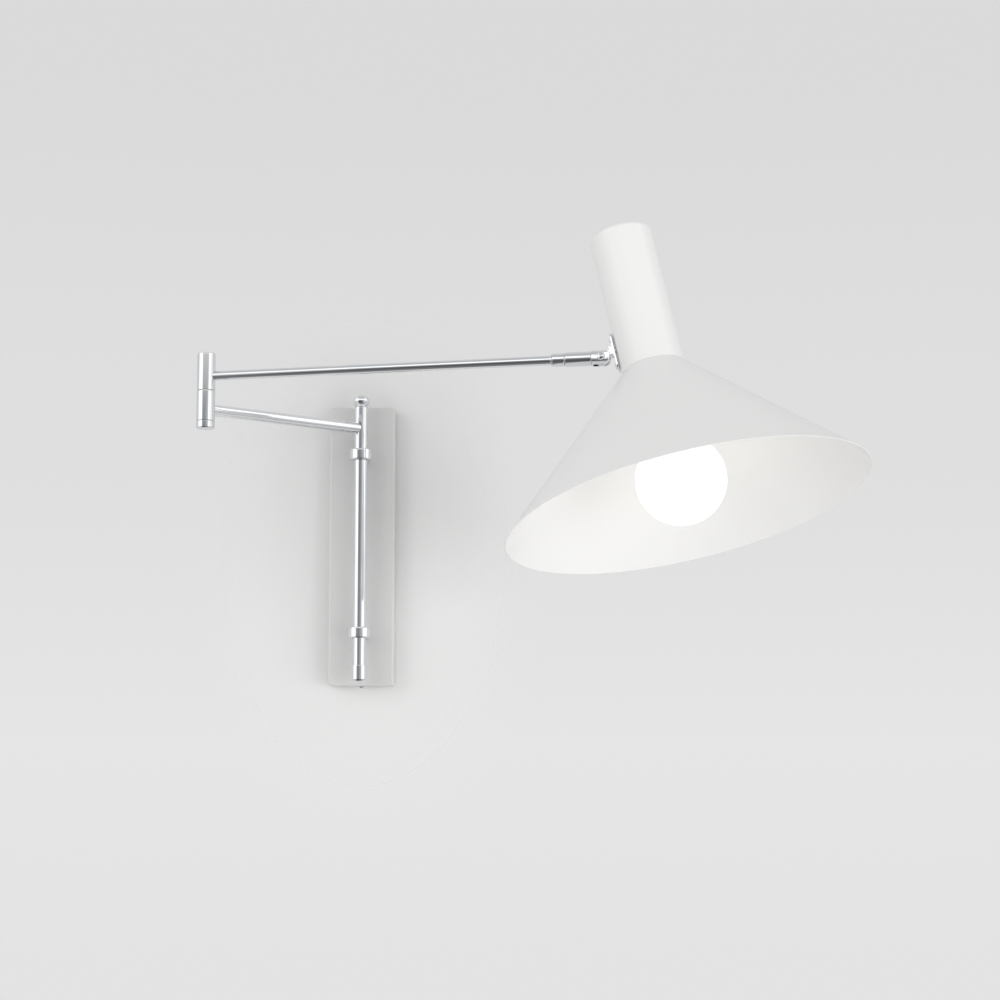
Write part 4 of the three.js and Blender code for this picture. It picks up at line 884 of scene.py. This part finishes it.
def sky():
    """Surround of pale screens with a darker gap straight ahead, which gives round chrome its stripe."""
    world = bpy.data.worlds.new("studio")
    world.use_nodes = True
    nodes = world.node_tree.nodes
    links = world.node_tree.links
    coords = nodes.new("ShaderNodeTexCoord")
    split = nodes.new("ShaderNodeSeparateXYZ")
    links.new(coords.outputs["Generated"], split.inputs["Vector"])
    sides = grey_ramp(nodes, links, split.outputs["X"], SIDE_SCREENS)
    heights = grey_ramp(nodes, links, split.outputs["Z"], HIGH_SCREENS)
    screens = nodes.new("ShaderNodeMix")
    screens.data_type = "RGBA"
    screens.blend_type = "LIGHTEN"
    screens.inputs["Factor"].default_value = 1
    links.new(sides, screens.inputs["A"])
    links.new(heights, screens.inputs["B"])
    below = nodes.new("ShaderNodeMix")
    below.data_type = "RGBA"
    below.blend_type = "MULTIPLY"
    below.inputs["Factor"].default_value = 1
    links.new(screens.outputs["Result"], below.inputs["A"])
    links.new(grey_ramp(nodes, links, split.outputs["Z"], LOW_SHADE), below.inputs["B"])
    path = nodes.new("ShaderNodeLightPath")
    even = nodes.new("ShaderNodeMix")
    even.data_type = "RGBA"
    even.inputs["A"].default_value = (AMBIENT, AMBIENT, AMBIENT, 1)
    links.new(path.outputs["Is Glossy Ray"], even.inputs["Factor"])
    behind = nodes.new("ShaderNodeMix")
    behind.data_type = "RGBA"
    behind.inputs["B"].default_value = (BEHIND, BEHIND, BEHIND, 1)
    links.new(split.outputs["Y"], add_step(nodes, links, behind.inputs["Factor"]))
    links.new(below.outputs["Result"], behind.inputs["A"])
    links.new(behind.outputs["Result"], even.inputs["B"])
    # Camera rays see the painted background, whose lighter lower part is painted light
    pale = nodes.new("ShaderNodeMix")
    pale.data_type = "RGBA"
    links.new(grey_ramp(nodes, links, split.outputs["Z"], BACKGROUND_WITH_PAINTED_LIGHT), pale.inputs["B"])
    links.new(path.outputs["Is Camera Ray"], pale.inputs["Factor"])
    links.new(even.outputs["Result"], pale.inputs["A"])
    links.new(pale.outputs["Result"], nodes["Background"].inputs["Color"])
    nodes["Background"].inputs["Strength"].default_value = 1.0
    bpy.context.scene.world = world


# Studio, in metres, with the camera's sensor and lens in millimetres
WALL_GAP = 0.0008
PATCH_HALF_SIZE = 0.3
PATCH_REACH_X = 0.17
PATCH_REACH_Z = 0.28
PATCH_SOFTNESS = 0.6
FLOOR_HALF_SIZE = 6
FLOOR_Z = -1.3
CAMERA_AT = (0.1267, -1.8456, -0.1816)
CAMERA_RISE = math.radians(6.99)
SENSOR_WIDTH = 36
LENS = 72

# Brightness of the surround, and the stops of its ramps
AMBIENT = 0.66
BEHIND = 0.68
STEP_SOFTNESS = 0.03
# Painted light: the background that the camera sees straight on is painted lighter just below level and darker
# upward, standing in for light falling unevenly on the wall
BACKGROUND_WITH_PAINTED_LIGHT = [
    (-1, 0.76, 0), (-0.1, 0.77, 0), (0, 0.785, 0), (0.12, 0.745, 0), (0.31, 0.705, 0), (1, 0.69, 0),
]
SIDE_SCREENS = [
    (-1, 1.1, 0), (-0.85, 1.5, 0), (-0.66, 1.4, 0), (-0.5, 0.3, 0.02), (-0.12, 0.22, 0.08),
    (0.05, 0.28, 0.1), (0.3, 0.42, 0.12), (0.55, 0.55, 0.06), (0.7, 1.4, 0), (1, 1.2, 0),
]
HIGH_SCREENS = [
    (-1, 0, 0), (0.14, 0, 0), (0.22, 1.0, 0), (0.4, 1.4, 0), (0.6, 1.2, 0), (0.74, 0.55, 0.03),
    (1, 0.5, 0.03),
]
LOW_SHADE = [(-1, 0.8, 0), (-0.75, 0.65, 0), (-0.55, 0.34, 0), (-0.25, 0.34, 0), (-0.06, 0.8, 0), (0, 1, 0)]


def studio():
    scene = bpy.context.scene
    scene.view_settings.view_transform = "Standard"
    scene.view_settings.look = "None"
    backdrop()
    floor()
    sky()
    softbox("right_softbox", (2.5, -2.4, -0.4), (0.1, 0, -0.1), 2.6, 1.6, 31)
    softbox("left_softbox", (-1.8, -2.3, 0.5), (0.1, 0, 0), 1.8, 1.8, 17)
    softbox("low_fill", (0.3, -0.9, -1.1), (0.15, 0, -0.5), 1.4, 0.8, 2.8)


def camera():
    data = bpy.data.cameras.new("camera")
    data.sensor_width = SENSOR_WIDTH
    data.lens = LENS
    view = bpy.data.objects.new("camera", data)
    view.location = Vector(CAMERA_AT)
    view.rotation_euler = (math.pi / 2 + CAMERA_RISE, 0, 0)
    bpy.context.scene.collection.objects.link(view)
    bpy.context.scene.camera = view


camera()
studio()
finish_cad_nodes()
plate_cover()
plate_screws()
collars()
socket_screw()
rod()
rod_ball()
rod_cap()
short_arm()
elbow()
long_arm()
sleeve()
knuckle()
tongue()
mount_strap()
neck()
cone()
shade_nut()
bulb()
holder()
